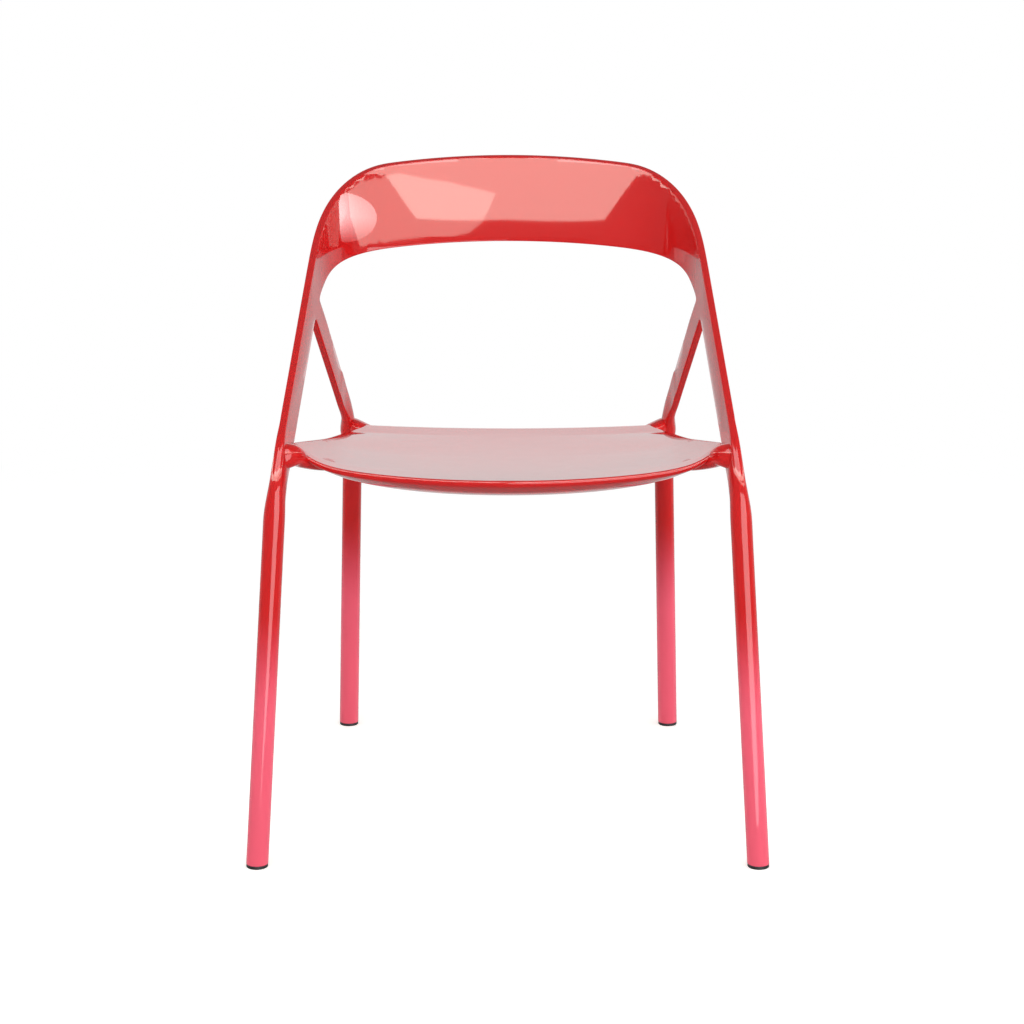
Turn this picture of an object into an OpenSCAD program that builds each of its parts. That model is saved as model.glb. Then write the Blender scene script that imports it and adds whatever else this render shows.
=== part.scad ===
// Stacking guest chair moulded in fibre composite: a U-shaped wall makes the backrest and
// both side frames, a dished seat pan hangs between the frames, and four tapered tubes are the legs.
// The floor is z = 0, the front faces -Y, and x = 0 is the plane of symmetry.

/* [Legs] */
// Distance between the front feet, centre to centre
front_feet_span = 572; // [540:1:600]
// Distance between the rear feet, centre to centre
rear_feet_span = 431; // [400:1:450]
// Distance from the front feet to the rear feet, centre to centre
feet_depth = 524; // [495:1:540]
// Distance between the front legs at their top joints
front_top_span = 519; // [512:1:524]
// Distance between the rear legs at their top joints
rear_top_span = 399; // [394:1:404]
// Distance from the front feet back to the top joints of the rear legs
rear_top_depth = 431; // [424:1:438]
// Height of the joint at the top of each leg
leg_joint_z = 380; // [365:1:390]
// Diameter of a leg at the floor
leg_foot_d = 25.4; // [24.6:0.2:27]
// Diameter of a leg at its top joint
leg_top_d = 24.2; // [23.8:0.2:25]
// Bore of a leg tube
leg_bore_d = 20; // [18:0.5:20.5]

/* [Feet] */
// Thickness of a glide under the leg
glide_h = 4; // [3:0.5:6]
// Diameter of a glide
glide_d = 25; // [22:0.5:25.4]
// Diameter of the stem of a glide
glide_stem_d = 8; // [6:0.5:10]
// Length of the stem of a glide, along the leg
glide_stem_len = 22; // [15:1:28]
// Length of the bonded plug in the end of a leg
plug_len = 32; // [30:1:40]

/* [Side frames] */
// Height at which the top edge of the arms would meet the front feet line
arm_z = 480; // [474:1:486]
// Pitch of the arms and of the top edge of the backrest, in degrees
arm_pitch = 33.5; // [32.5:0.1:34.5]
// Width of an arm, seen from the side
arm_w = 41; // [38:0.5:43]
// Width of a rear strut, seen from the side
strut_w = 35.5; // [32:0.5:38]
// Horizontal distance from the front feet line to the rear strut, at the height of the seat
strut_foot_y = 413; // [408:1:418]
// Height at which the rear strut bends into the rear leg
strut_bend_z = 453; // [448:1:458]
// Thickness of the side frames
frame_t = 8.4; // [7.6:0.2:10]
// Angle by which the side frames close towards the back, in degrees
toe = 6.4; // [5.8:0.1:7]
// Outward lean of the side frames, in degrees
flare = 3.44; // [2.8:0.1:4]

/* [Backrest] */
// Depth of the backrest at the middle, measured from the front feet line at the reference height
back_y = 425.5; // [418:0.5:432]
// Radius of the broad curve at the middle of the backrest
back_r = 972; // [800:1:1300]
// Distance along the back from the middle to the start of the corner
corner_start = 136; // [130:1:142]
// Distance along the back from the middle to the tightest point of the corner
corner_peak = 166; // [160:1:172]
// Distance along the back from the middle to the end of the corner
corner_end = 358; // [345:1:370]
// Height of the lower edge of the backrest at the middle
back_low_z = 666; // [655:1:680]
// Backward lean of the backrest, in degrees
back_lean = 11.3; // [9:0.1:14]
// Thickness of the backrest at the middle
back_t = 5.2; // [5:0.1:7]
// Distance along the back from the middle to the joint with the side frame
back_joint_s = 290; // [284:1:296]

/* [Seat] */
// Height of the seat at the middle of its front edge
seat_front_z = 452; // [446:1:456]
// Height of the seat at the middle of its rear edge
seat_rear_z = 430.5; // [426:0.5:436]
// Sag of the seat along its middle line, below a straight line
seat_sag = 7; // [2:0.5:12]
// Position of the front edge of the seat at the middle
seat_front_y = -10; // [-12:1:0]
// Position of the rear edge of the seat at the middle
seat_rear_y = 405; // [395:1:412]
// Radius of the front edge in plan
seat_front_r = 530; // [450:10:700]
// Height of the turned-up side edge at the front
seat_ear_z = 484; // [480:1:486]
// Height of the side edge at the back
seat_heel_z = 431; // [428:1:434]
// Gap between the seat and the side frame
seat_side_gap = 4; // [3:0.5:6]
// Depth of the notch round each rear leg
seat_notch = 15; // [10:1:20]
// Thickness of the seat at its rim
seat_rim_t = 6.4; // [5.6:0.2:8]
// Thickness of the seat at the middle
seat_t = 20; // [14:0.5:24]

/* [Laminate] */
// Thickness of the moulded skins
skin_t = 2; // [1.4:0.1:2.4]
// Width of the bonded flange round each pair of skins
flange_w = 7; // [5:0.5:10]
// Glue line or running clearance between bonded pieces
glue_gap = 0.2; // [0.1:0.05:0.3]
// Thickness of the bonded tongues in the side frames
tongue_t = 3; // [2:0.2:3.2]
// Length of a bonded tongue
tongue_len = 36; // [28:1:40]

/* [Hidden] */

// Middle of the footprint, from the front of the front feet to the back of the slanting rear feet
rear_slope = (rear_top_depth - feet_depth) / leg_joint_z;
mid_y = (feet_depth + glide_h * rear_slope + leg_foot_d / 2 * (sqrt(1 + pow(rear_slope, 2)) - 1)) / 2;
// Reference height of the plan curve
ref_z = 700;
lean_m = tan(back_lean);
flare_m = tan(flare);
pitch_m = tan(arm_pitch);
turn = 90 - toe;
eps = 0.01;

// Small helpers
function lerp(a, b, t) = a + (b - a) * t;
function clamp01(t) = min(1, max(0, t));
function smooth(t) = let (c = clamp01(t)) c * c * (3 - 2 * c);
function sgn(v) = v < 0 ? -1 : 1;
function unit(v) = v / norm(v);
function sum_to(v, i = 0, acc = 0) = i >= len(v) ? acc : sum_to(v, i + 1, acc + v[i]);
function bezier(a, b, c, d, t) =
    pow(1 - t, 3) * a + 3 * t * pow(1 - t, 2) * b + 3 * t * t * (1 - t) * c + t * t * t * d;
function bezier_dir(a, b, c, d, t) =
    unit(pow(1 - t, 2) * (b - a) + 2 * t * (1 - t) * (c - b) + t * t * (d - c));

// Plan curve of the wall. The heading turns slowly across the back, quickly round the corner,
// and stays constant along the side, where the wall is flat.
fade = corner_end - corner_start;
rise_w = corner_peak - corner_start;
fall_w = corner_end - corner_peak;
base_turn = (corner_start + fade / 2) / back_r * 180 / PI;
corner_k = (turn - base_turn) * 2 / fade;
function base_heading(s) =
    let (a = min(s, corner_start), b = max(0, min(s, corner_end) - corner_start))
    (a + b - b * b / (2 * fade)) / back_r * 180 / PI;
function bump_heading(s) =
    s <= corner_start ? 0
    : s <= corner_peak
        ? corner_k * ((s - corner_start) / 2 + rise_w / (2 * PI) * sin(180 * (s - corner_peak) / rise_w))
    : let (e = min(s, corner_end))
        corner_k * (rise_w / 2 + (e - corner_peak) / 2 + fall_w / (2 * PI) * sin(180 * (e - corner_peak) / fall_w));
function heading(s) = base_heading(s) + bump_heading(s);

// Table of the plan curve, one row for each step along it: distance, x and y
plan_step = 4;
plan_n = ceil((corner_end + 12) / plan_step);
function plan_rows(i = 0, x = 0, y = back_y, rows = []) =
    i > plan_n ? rows
    : let (h = heading((i + 0.5) * plan_step))
        plan_rows(i + 1, x + cos(h) * plan_step, y - sin(h) * plan_step,
                  concat(rows, [[i * plan_step, x, y]]));
plan = plan_rows();
plan_x = [for (r = plan) [r[0], r[1]]];
plan_y = [for (r = plan) [r[0], r[2]]];
flat_x = lookup(corner_end, plan_x);
flat_y = lookup(corner_end, plan_y);
function curve_x(s) = s <= corner_end ? lookup(s, plan_x) : flat_x + (s - corner_end) * cos(turn);
function curve_y(s) = s <= corner_end ? lookup(s, plan_y) : flat_y - (s - corner_end) * sin(turn);

// Point at distance s from the middle, height z and offset off outwards from the outer face.
// A negative s is the other side.
function outer_wall(s, z, off) =
    let (a = abs(s), h = heading(a), dz = z - ref_z)
    [sgn(s) * (curve_x(a) + (dz * flare_m + off) * sin(h)),
     curve_y(a) + (dz * lean_m + off) * cos(h), z];
// The same point of the flat side, carried on as a plane beyond the end of the corner
function flat_wall(s, z, off) =
    let (dz = z - ref_z)
    [flat_x + (s - corner_end) * cos(turn) + (dz * flare_m + off) * sin(turn),
     flat_y - (s - corner_end) * sin(turn) + (dz * lean_m + off) * cos(turn), z];
// Distance along the wall of a point of the middle plane of the side, given its y and z
function side_s(y, z) =
    corner_end + (flat_y + ((z - ref_z) * lean_m - frame_t / 2) * cos(turn) - y) / sin(turn);
// Point of the side, with off measured from its middle plane
function side(y, z, off = 0) = flat_wall(side_s(y, z), z, off - frame_t / 2);

// Top edge of the wall: the wall cut by the plane of the two arms
function rim_z(s) =
    let (c = cos(heading(abs(s))))
    (arm_z + (curve_y(abs(s)) - ref_z * lean_m * c) * pitch_m) / (1 - lean_m * c * pitch_m);
// Lower edge of the backrest: a shallow arc that falls away at the corners
low_arc_s = 168;
low_arc_drop = 9;
low_fall_s = 252;
low_fall_drop = 5.5;
function low_z(s) =
    back_low_z - low_arc_drop * pow(s / low_arc_s, 2) - low_fall_drop * pow(abs(s) / low_fall_s, 6);
function wall_t(s) = lerp(back_t, frame_t, smooth((abs(s) - 60) / 230));
// Point of the backrest, with off measured from the middle of its thickness
function wall(s, z, off = 0) = outer_wall(s, z, off - wall_t(s) / 2);

// Closed solid between two grids of points with the same rows and columns. Seen from outside the
// solid on the side of the first grid, its rows run to the right and its columns run up.
function grid_faces(rows, cols) =
    let (n = rows * cols)
    concat(
        [for (i = [0:rows - 2], j = [0:cols - 2])
            let (a = i * cols + j, b = a + cols)
            each [[a, a + 1, b + 1], [a, b + 1, b], [n + a, n + b + 1, n + a + 1], [n + a, n + b, n + b + 1]]],
        [for (i = [0:rows - 2])
            let (a = i * cols, b = a + cols, c = a + cols - 1, d = c + cols)
            each [[a, b, b + n], [a, b + n, a + n], [c, d + n, d], [c, c + n, d + n]]],
        [for (j = [0:cols - 2])
            let (a = j, b = a + 1, c = (rows - 1) * cols + j, d = c + 1)
            each [[a, b + n, b], [a, a + n, b + n], [c, d, d + n], [c, d + n, c + n]]]);
module grid_solid(front, back) {
    rows = len(front);
    cols = len(front[0]);
    polyhedron([for (r = front) each r, for (r = back) each r], grid_faces(rows, cols), convexity = 6);
}
// Solid lofted through closed rings of points with the same count. Each ring runs anticlockwise
// about the direction in which the rings follow each other.
module ring_solid(rings) {
    n = len(rings[0]);
    m = len(rings);
    polyhedron(
        [for (r = rings) each r],
        concat(
            [[for (j = [0:n - 1]) j]],
            [for (i = [0:m - 2], j = [0:n - 1])
                let (a = i * n + j, b = i * n + (j + 1) % n)
                each [[a, b + n, b], [a, a + n, b + n]]],
            [[for (j = [n - 1:-1:0]) (m - 1) * n + j]]),
        convexity = 4);
}
module mirrored(right) {
    if (right) children();
    else mirror([1, 0, 0]) children();
}
module placed() {
    translate([0, -mid_y, 0]) children();
}
// Puts children, drawn along +Z, on the line from a to b
module along(a, b) {
    d = b - a;
    translate(a) rotate([0, acos(d[2] / norm(d)), atan2(d[1], d[0])]) rotate([0, 0, 37]) children();
}

// Leg axes, from the floor to the top joint
front_foot = [front_feet_span / 2, 0, 0];
front_top = [front_top_span / 2, 0, leg_joint_z];
rear_foot = [rear_feet_span / 2, feet_depth, 0];
rear_top = [rear_top_span / 2, rear_top_depth, leg_joint_z];
leg_gap = 0.1;
joint_bore_d = 16;
joint_bore_len = 20;
spigot_leg_len = 30;
spigot_bore_d = 10;

// Axes of the arm and of the rear strut in the plane of the side frame, as [y, z]
arm_dir = [cos(arm_pitch), sin(arm_pitch)];
arm_up = [-sin(arm_pitch), cos(arm_pitch)];
arm_base = [0, arm_z] - arm_up * arm_w / 2;
arm_foot = arm_base - arm_dir * (arm_base[0] / arm_dir[0]);
strut_dir = [-cos(45), sin(45)];
strut_up = [sin(45), cos(45)];
strut_foot = [strut_foot_y, strut_bend_z];
// Where the two axes meet
meet_t = ((strut_foot[0] - arm_foot[0]) * strut_dir[1] - (strut_foot[1] - arm_foot[1]) * strut_dir[0])
    / (arm_dir[0] * strut_dir[1] - arm_dir[1] * strut_dir[0]);
meet = arm_foot + arm_dir * meet_t;
// Where the arm and the rear strut are cut and joined to the side frame
arm_cut = meet - arm_dir * 46;
strut_cut = meet - strut_dir * 52;
arm_start = arm_foot + arm_dir * 75;
strut_start = strut_foot + strut_dir * 62;

// Ring of 24 points: a superellipse with half axes a, along u, and b, along v
ring_n = 24;
function ring(c, u, v, a, b, e) =
    [for (i = [0:ring_n - 1])
        let (t = (i + 0.5) * 360 / ring_n)
        c + u * a * sgn(cos(t)) * pow(abs(cos(t)), 2 / e) + v * b * sgn(sin(t)) * pow(abs(sin(t)), 2 / e)];

// Member that starts as a round tube on a leg and ends as a flat blade in the side frame. Its outer
// face runs straight on from the leg, and it thins from the inside over the share thin of the bend.
bend_steps = 12;
function swell(t, bulge) = let (k = t / bulge[1]) bulge[0] * k * exp(1 - k) * (1 - pow(t, 4));
blade_e = 9;
neck_d = leg_top_d - 2;
function member_rings(foot, top, start, cut, up, w, thin, hug, bulge) =
    let (leg_dir = unit(top - foot),
         a0 = top, a1 = top + leg_dir * (joint_bore_len + 4),
         b1 = side(start[0], start[1]), b0 = side(cut[0], cut[1]),
         blade_dir = unit(b0 - b1),
         reach = norm(b1 - a1) * 0.42,
         c1 = a1 + leg_dir * reach, c2 = b1 - blade_dir * reach,
         blade_up = unit(side(start[0] + up[0], start[1] + up[1]) - b1),
         leg_u = unit(blade_up - leg_dir * (blade_up * leg_dir)), leg_v = cross(leg_dir, leg_u))
    concat(
        [ring(a0, leg_u, leg_v, leg_top_d / 2, leg_top_d / 2, 2)],
        [for (i = [0:bend_steps])
            let (t = i / bend_steps, p = bezier(a1, c1, c2, b1, t), d = bezier_dir(a1, c1, c2, b1, t),
                 u = unit(blade_up - d * (blade_up * d)), v = cross(d, u),
                 half = lerp(neck_d / 2, frame_t / 2, smooth(t / thin)),
                 leg_x = a1[0] + (p[2] - a1[2]) * leg_dir[0] / leg_dir[2] + leg_top_d / 2,
                 x = lerp(leg_x, side(p[1], p[2], frame_t / 2)[0], smooth(t * hug)) - half + swell(t, bulge))
            ring([x, p[1], p[2]], u, v, lerp(neck_d / 2, w / 2, smooth(t * 1.25)), half, lerp(2, blade_e, t * t))],
        [ring(b0, blade_up, cross(blade_dir, blade_up), w / 2, frame_t / 2, blade_e)]);
arm_thin = 0.95;
strut_thin = 0.78;
// How soon the outer face goes over from the line of the leg to the plane of the side
arm_hug = 1;
strut_hug = 6;
// How far the bend swells outwards, and at which share of it
arm_bulge = [-1.3, 0.45];
strut_bulge = [7, 0.17];
module arm_solid() {
    ring_solid(member_rings(front_foot, front_top, arm_start, arm_cut, arm_up, arm_w,
        arm_thin, arm_hug, arm_bulge));
}
module strut_solid() {
    ring_solid(member_rings(rear_foot, rear_top, strut_start, strut_cut, strut_up, strut_w,
        strut_thin, strut_hug, strut_bulge));
}
// Tongue across a joint at point p of the side plane, along dir, and the slot that takes it
module tongue(p, dir, up, w, grow = 0) {
    o = side(p[0], p[1]);
    x = unit(side(p[0] + dir[0], p[1] + dir[1]) - o);
    y = unit(side(p[0] + up[0], p[1] + up[1]) - o);
    z = cross(x, y);
    multmatrix([[x[0], y[0], z[0], o[0]], [x[1], y[1], z[1], o[1]], [x[2], y[2], z[2], o[2]]])
        cube([tongue_len + 2 * grow, w + 2 * grow, tongue_t + 2 * grow], center = true);
}
arm_tongue_w = arm_w - 15;
strut_tongue_w = strut_w - 13;
module joint_socket(foot, top) {
    along(top - unit(top - foot) * eps, top + unit(top - foot) * joint_bore_len)
        cylinder(h = joint_bore_len, d = joint_bore_d, $fn = 64);
}

module arm(right) {
    color("crimson") placed() mirrored(right) difference() {
        arm_solid();
        joint_socket(front_foot, front_top);
        tongue(arm_cut, arm_dir, arm_up, arm_tongue_w, glue_gap);
    }
}
module rear_strut(right) {
    color("crimson") placed() mirrored(right) difference() {
        strut_solid();
        joint_socket(rear_foot, rear_top);
        tongue(strut_cut, strut_dir, strut_up, strut_tongue_w, glue_gap);
    }
}
module arm_tongue(right) {
    color("dimgray") placed() mirrored(right) tongue(arm_cut, arm_dir, arm_up, arm_tongue_w);
}
module strut_tongue(right) {
    color("dimgray") placed() mirrored(right) tongue(strut_cut, strut_dir, strut_up, strut_tongue_w);
}

// Outline of the side frame as [s, z]: the arm, the rear strut and the end of the backrest meet in it
crotch_r = 7;
throat_pull = [40.5, 10];
throat_slope = -0.4;
function to_sz(p) = [side_s(p[0], p[1]), p[1]];
function arm_edge(t, side_sign) = arm_cut + arm_dir * t + arm_up * side_sign * arm_w / 2;
function strut_edge(t, side_sign) = strut_cut + strut_dir * t + strut_up * side_sign * strut_w / 2;
// Sharp corner between the lower edge of the arm and the front edge of the rear strut
crotch = let (a = arm_edge(0, -1), b = strut_edge(0, -1),
              t = ((b[0] - a[0]) * strut_dir[1] - (b[1] - a[1]) * strut_dir[0])
                  / (arm_dir[0] * strut_dir[1] - arm_dir[1] * strut_dir[0]))
    a + arm_dir * t;
// Corner at p, rounded by a quadratic curve between p + a and p + b
function rounded(p, a, b, n) =
    [for (i = [0:n]) let (t = i / n) pow(1 - t, 2) * (p + a) + 2 * t * (1 - t) * p + t * t * (p + b)];
// Corner of the opening under the backrest, from its lower edge to the rear edge of the strut
throat_a = [back_joint_s, low_z(back_joint_s)];
throat_b = to_sz(strut_edge(16, 1));
throat_dir_a = unit([1, throat_slope]);
throat_dir_b = unit(to_sz(strut_edge(17, 1)) - throat_b);
throat_n = 8;
crotch_n = 6;
rim_n = 8;
frame_outline = concat(
    [for (i = [0:rim_n])
        let (s = lerp(to_sz(arm_edge(0, 1))[0], back_joint_s, i / rim_n)) [s, rim_z(s)]],
    [for (i = [0:throat_n])
        bezier(throat_a, throat_a + throat_dir_a * throat_pull[0],
               throat_b + throat_dir_b * throat_pull[1], throat_b, i / throat_n)],
    [to_sz(strut_edge(0, 1)), to_sz(strut_edge(0, -1))],
    [for (p = rounded(crotch, -strut_dir * crotch_r, -arm_dir * crotch_r, crotch_n)) to_sz(p)],
    [to_sz(arm_edge(0, -1))]);
// Points on the three cut faces keep the full size of the section; the others are drawn in by the edge
cut_points = [0, rim_n, rim_n + 1, rim_n + throat_n + 2, rim_n + throat_n + 3, len(frame_outline) - 1];
function edge_share(i) = len(search(i, cut_points)) > 0 ? 0 : 1;
// The side frame is flat below and takes the curve of the backrest above
curve_start_z = 560;
curve_full_z = 612;
function frame_point(q, side_share) =
    let (k = smooth((q[1] - curve_start_z) / (curve_full_z - curve_start_z)), off = side_share * wall_t(q[0]) / 2)
    lerp(flat_wall(q[0], q[1], off - frame_t / 2), wall(q[0], q[1], off), k);
module side_frame_solid() {
    n = len(frame_outline);
    inset = 1.6;
    // Each ring of the edge as [offset outwards as a share of the half thickness, inset]
    edge = [[1, inset], [0.72, 0.5], [0.3, 0], [-0.3, 0], [-0.72, 0.5], [-1, inset]];
    ring_solid([for (e = edge)
        [for (i = [0:n - 1])
            let (p = frame_outline[i], a = frame_outline[(i + n - 1) % n], b = frame_outline[(i + 1) % n],
                 d = unit(b - a), q = p + [-d[1], d[0]] * e[1] * edge_share(i))
            frame_point(q, e[0])]]);
}

// Backrest tongue: a short curved strip between the skins, across the joint
back_tongue_t = tongue_t - 0.4;
module back_strip(grow = 0) {
    half = tongue_len / 2 + grow;
    s_list = [for (i = [0:6]) lerp(back_joint_s - half, back_joint_s + half, i / 6)];
    mid = (rim_z(back_joint_s) + low_z(back_joint_s)) / 2;
    h = (rim_z(back_joint_s) - low_z(back_joint_s)) / 2 - 14 + grow;
    t = back_tongue_t / 2 + grow;
    grid_solid([for (s = s_list) [wall(s, mid - h, -t), wall(s, mid + h, -t)]],
               [for (s = s_list) [wall(s, mid - h, t), wall(s, mid + h, t)]]);
}
module back_tongue(right) {
    color("dimgray") placed() mirrored(right) back_strip();
}
module side_frame(right) {
    color("crimson") placed() mirrored(right) difference() {
        side_frame_solid();
        tongue(arm_cut, arm_dir, arm_up, arm_tongue_w, glue_gap);
        tongue(strut_cut, strut_dir, strut_up, strut_tongue_w, glue_gap);
        back_strip(glue_gap);
    }
}

// Backrest shells. Rows run up the wall, columns run along it.
// An edge row is [distance from the edge, share of the half thickness].
edge_roll = [[0, 0.55], [0.5, 0.87], [1.6, 1]];
band_cols = 56;
function band_s(j, reach) = lerp(-reach, reach, j / band_cols);
function band_rows(s) =
    let (lo = low_z(s), hi = rim_z(s), mid = (lo + hi) / 2)
    concat([for (e = edge_roll) [lo + e[0], e[1], 0]],
           [[lo + flange_w, 1, 0], [lo + flange_w + 1, 1, 1], [lerp(lo, hi, 0.36), 1, 1], [mid, 1, 1],
            [lerp(lo, hi, 0.64), 1, 1], [hi - flange_w - 1, 1, 1], [hi - flange_w, 1, 0]],
           [for (i = [2:-1:0]) [hi - edge_roll[i][0], edge_roll[i][1], 0]]);
band_row_n = 13;
// Half of the thickness of the pocket for the core, at s
function pocket(s) = wall_t(s) / 2 - skin_t;
module backrest_skin(sign) {
    outer = [for (i = [0:band_row_n - 1]) [for (j = [0:band_cols])
        let (s = band_s(j, back_joint_s), r = band_rows(s)[i]) wall(s, r[0], sign * r[1] * wall_t(s) / 2)]];
    inner = [for (i = [0:band_row_n - 1]) [for (j = [0:band_cols])
        let (s = band_s(j, back_joint_s), r = band_rows(s)[i])
        wall(s, r[0], sign * (glue_gap / 2 + r[2] * (pocket(s) - glue_gap / 2)))]];
    if (sign > 0) grid_solid(outer, inner);
    else grid_solid(inner, outer);
}
module backrest_front_skin() {
    color("crimson") placed() backrest_skin(-1);
}
module backrest_rear_skin() {
    color("firebrick") placed() backrest_skin(1);
}
module backrest_core() {
    reach = back_joint_s - tongue_len / 2 - 2;
    face = function(sign) [for (k = [0:4]) [for (j = [0:band_cols])
        let (s = band_s(j, reach), lo = low_z(s) + flange_w + 1.5, hi = rim_z(s) - flange_w - 1.5)
        wall(s, lerp(lo, hi, k / 4), sign * (pocket(s) - glue_gap))]];
    color("burlywood") placed() grid_solid(face(1), face(-1));
}

// Seat. The side edge follows the side frame, and is drawn in round the rear legs.
notch_len = 55;
function side_inner_x(y, z) = side(y, z, -frame_t / 2)[0];
function seat_edge_z(y) =
    let (f = clamp01((y - 55) / 300)) lerp(seat_ear_z, seat_heel_z, f);
function seat_half_w(y) =
    side_inner_x(y, seat_edge_z(y)) - seat_side_gap
    - seat_notch * smooth((y - (seat_rear_y - notch_len - 5)) / notch_len);
function seat_front(u) =
    let (w = u * seat_half_w(45)) seat_front_y + seat_front_r - sqrt(pow(seat_front_r, 2) - w * w);
function seat_rear(u) = seat_rear_y - 2 * u * u;
function seat_mid_z(y) =
    let (f = (y - seat_front_y) / (seat_rear_y - seat_front_y))
    lerp(seat_front_z, seat_rear_z, f) - seat_sag * 4 * f * (1 - f);
// The section across the seat is a shallow dish that turns up at the sides, more so at the front
function seat_rise(u, y) =
    let (even = lerp(0.45, 1, smooth((y - 200) / 200))) even * u * u + (1 - even) * pow(abs(u), 12);
// The rear half lifts a little towards its sides
seat_lift = 5;
function seat_z(u, y) =
    lerp(seat_mid_z(y), seat_edge_z(y), seat_rise(u, y))
    + seat_lift * smooth((y - seat_rear_y / 2) / (seat_rear_y / 2)) * u * u;
// Half thickness of the seat, from the rim to the middle
roll_w = 36;
function seat_depth(u, front_gap, rear_gap) =
    seat_rim_t + (seat_t - seat_rim_t) * (1 - pow(abs(u), 3.5))
        * sin(90 * clamp01(front_gap / roll_w)) * sin(90 * clamp01(rear_gap / roll_w));
// Lines of the seat grid as [share of the width or length, rim share, pocket share]
seat_u = concat(
    [for (e = [[1, 0.5, 0], [0.995, 0.85, 0], [0.985, 1, 0], [0.955, 1, 0], [0.945, 1, 1],
               [0.91, 1, 1], [0.86, 1, 1], [0.78, 1, 1], [0.62, 1, 1], [0.42, 1, 1], [0.21, 1, 1]])
        [-e[0], e[1], e[2]]],
    [[0, 1, 1]],
    [for (e = [[0.21, 1, 1], [0.42, 1, 1], [0.62, 1, 1], [0.78, 1, 1], [0.86, 1, 1], [0.91, 1, 1],
               [0.945, 1, 1], [0.955, 1, 0], [0.985, 1, 0], [0.995, 0.85, 0], [1, 0.5, 0]]) e]);
seat_v = [[0, 0.4, 0], [0.0025, 0.8, 0], [0.008, 1, 0], [0.018, 1, 0], [0.021, 1, 1], [0.045, 1, 1],
          [0.09, 1, 1], [0.17, 1, 1], [0.28, 1, 1], [0.4, 1, 1], [0.52, 1, 1], [0.64, 1, 1], [0.76, 1, 1],
          [0.85, 1, 1], [0.91, 1, 1], [0.955, 1, 1], [0.979, 1, 1], [0.982, 1, 0], [0.992, 1, 0],
          [0.9975, 0.8, 0], [1, 0.4, 0]];
function seat_y(u, v) = lerp(seat_front(u), seat_rear(u), v);
function seat_depth_at(u, v) =
    let (y = seat_y(u, v)) seat_depth(u, y - seat_front(u), seat_rear(u) - y);
// Height of the parting surface between the skins, a fixed depth below the top
function parting_z(u, v) = seat_z(u, seat_y(u, v)) - seat_rim_t / 2;
// The top rolls over to the parting surface at the rim, and so does the underside
function rim_share(a, b) = min(a[1], b[1]);
function pocket_share(a, b) = min(a[2], b[2]);
function seat_point(u, v, z) = let (y = seat_y(u, v)) [u * seat_half_w(y), y, z];
function seat_face(kind) =
    [for (a = seat_u) [for (b = seat_v)
        let (u = a[0], v = b[0], p = parting_z(u, v), r = rim_share(a, b), k = pocket_share(a, b),
             up = seat_rim_t / 2 * r, down = (seat_depth_at(u, v) - seat_rim_t / 2) * r,
             z = kind == "top" ? p + up
                 : kind == "upper_inner" ? p + glue_gap / 2 + k * (seat_rim_t / 2 - skin_t - glue_gap / 2)
                 : kind == "lower_inner" ? p - glue_gap / 2 - k * max(0, down - skin_t - glue_gap / 2)
                 : p - down)
        seat_point(u, v, z)]];
module seat_upper_skin() {
    color("crimson") placed() grid_solid(seat_face("top"), seat_face("upper_inner"));
}
module seat_lower_skin() {
    color("firebrick") placed() grid_solid(seat_face("lower_inner"), seat_face("bottom"));
}
core_u = [for (a = seat_u) if (a[2] > 0) a];
core_v = [for (b = seat_v) if (b[2] > 0) b];
module seat_core() {
    // The foam keeps inside the pocket by the glue line on each side
    face = function(sign) [for (a = core_u) [for (b = core_v)
        let (u = a[0] * 0.997, v = lerp(0.5, b[0], 0.997), p = parting_z(u, v),
             top = p + seat_rim_t / 2 - skin_t - glue_gap,
             low = p - max(0.4, seat_depth_at(u, v) - seat_rim_t / 2 - skin_t - glue_gap))
        seat_point(u, v, sign > 0 ? top : low)]];
    color("burlywood") placed() grid_solid(face(1), face(-1));
}

// Brackets. Each one is a neck that leaves the side frame and runs out under the corner of the seat.
// Solid over the whole seat from its underside up, which trims the brackets
module seat_clearance() {
    u_list = [for (a = seat_u) abs(a[0]) < 0.5 ? a[0] : a[0] * 1.002];
    v_list = [for (b = seat_v) lerp(0.5, b[0], 1.002)];
    low = [for (i = [0:len(seat_u) - 1]) [for (j = [0:len(seat_v) - 1])
        let (u = seat_u[i][0], v = seat_v[j][0], r = rim_share(seat_u[i], seat_v[j]),
             p = seat_point(u_list[i], v_list[j], 0))
        [p[0], p[1], parting_z(u, v) - (seat_depth_at(u, v) - seat_rim_t / 2) * r - glue_gap]]];
    high = [for (r = low) [for (p = r) [p[0], p[1], seat_ear_z + 60]]];
    grid_solid(high, low);
}
// A neck runs from inside its member to a place under the seat. Each row is one ring: the shares of
// the way it has gone along x, y and z, its half depth and its half height.
front_rows = [[0, 0, 0, 18, 15.6], [0.077, 0.2, 0.077, 14.5, 13.7], [0.154, 0.4, 0.23, 12.5, 11.8],
              [0.256, 0.567, 0.487, 12.5, 9], [0.385, 0.7, 0.64, 13, 7], [0.538, 0.8, 0.77, 13, 5.6],
              [0.692, 0.9, 0.897, 12, 4.2], [0.872, 0.967, 0.95, 11, 3], [1, 1, 1, 9, 1.5]];
rear_rows = [[0, 0, 0, 8, 8], [0.18, 0.2, 0.2, 10, 8.5], [0.34, 0.37, 0.4, 11, 7.6],
             [0.55, 0.57, 0.7, 12, 7], [0.81, 0.83, 0.9, 12, 5], [1, 1, 1, 10, 2.5]];
front_from = [side(seat_front_y + 54, seat_ear_z - 15.5)[0] + 1.2, seat_front_y + 54, seat_ear_z - 15.5];
front_to = [0.71 * seat_half_w(45), seat_front_y + 84, seat_front_z - 3];
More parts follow.
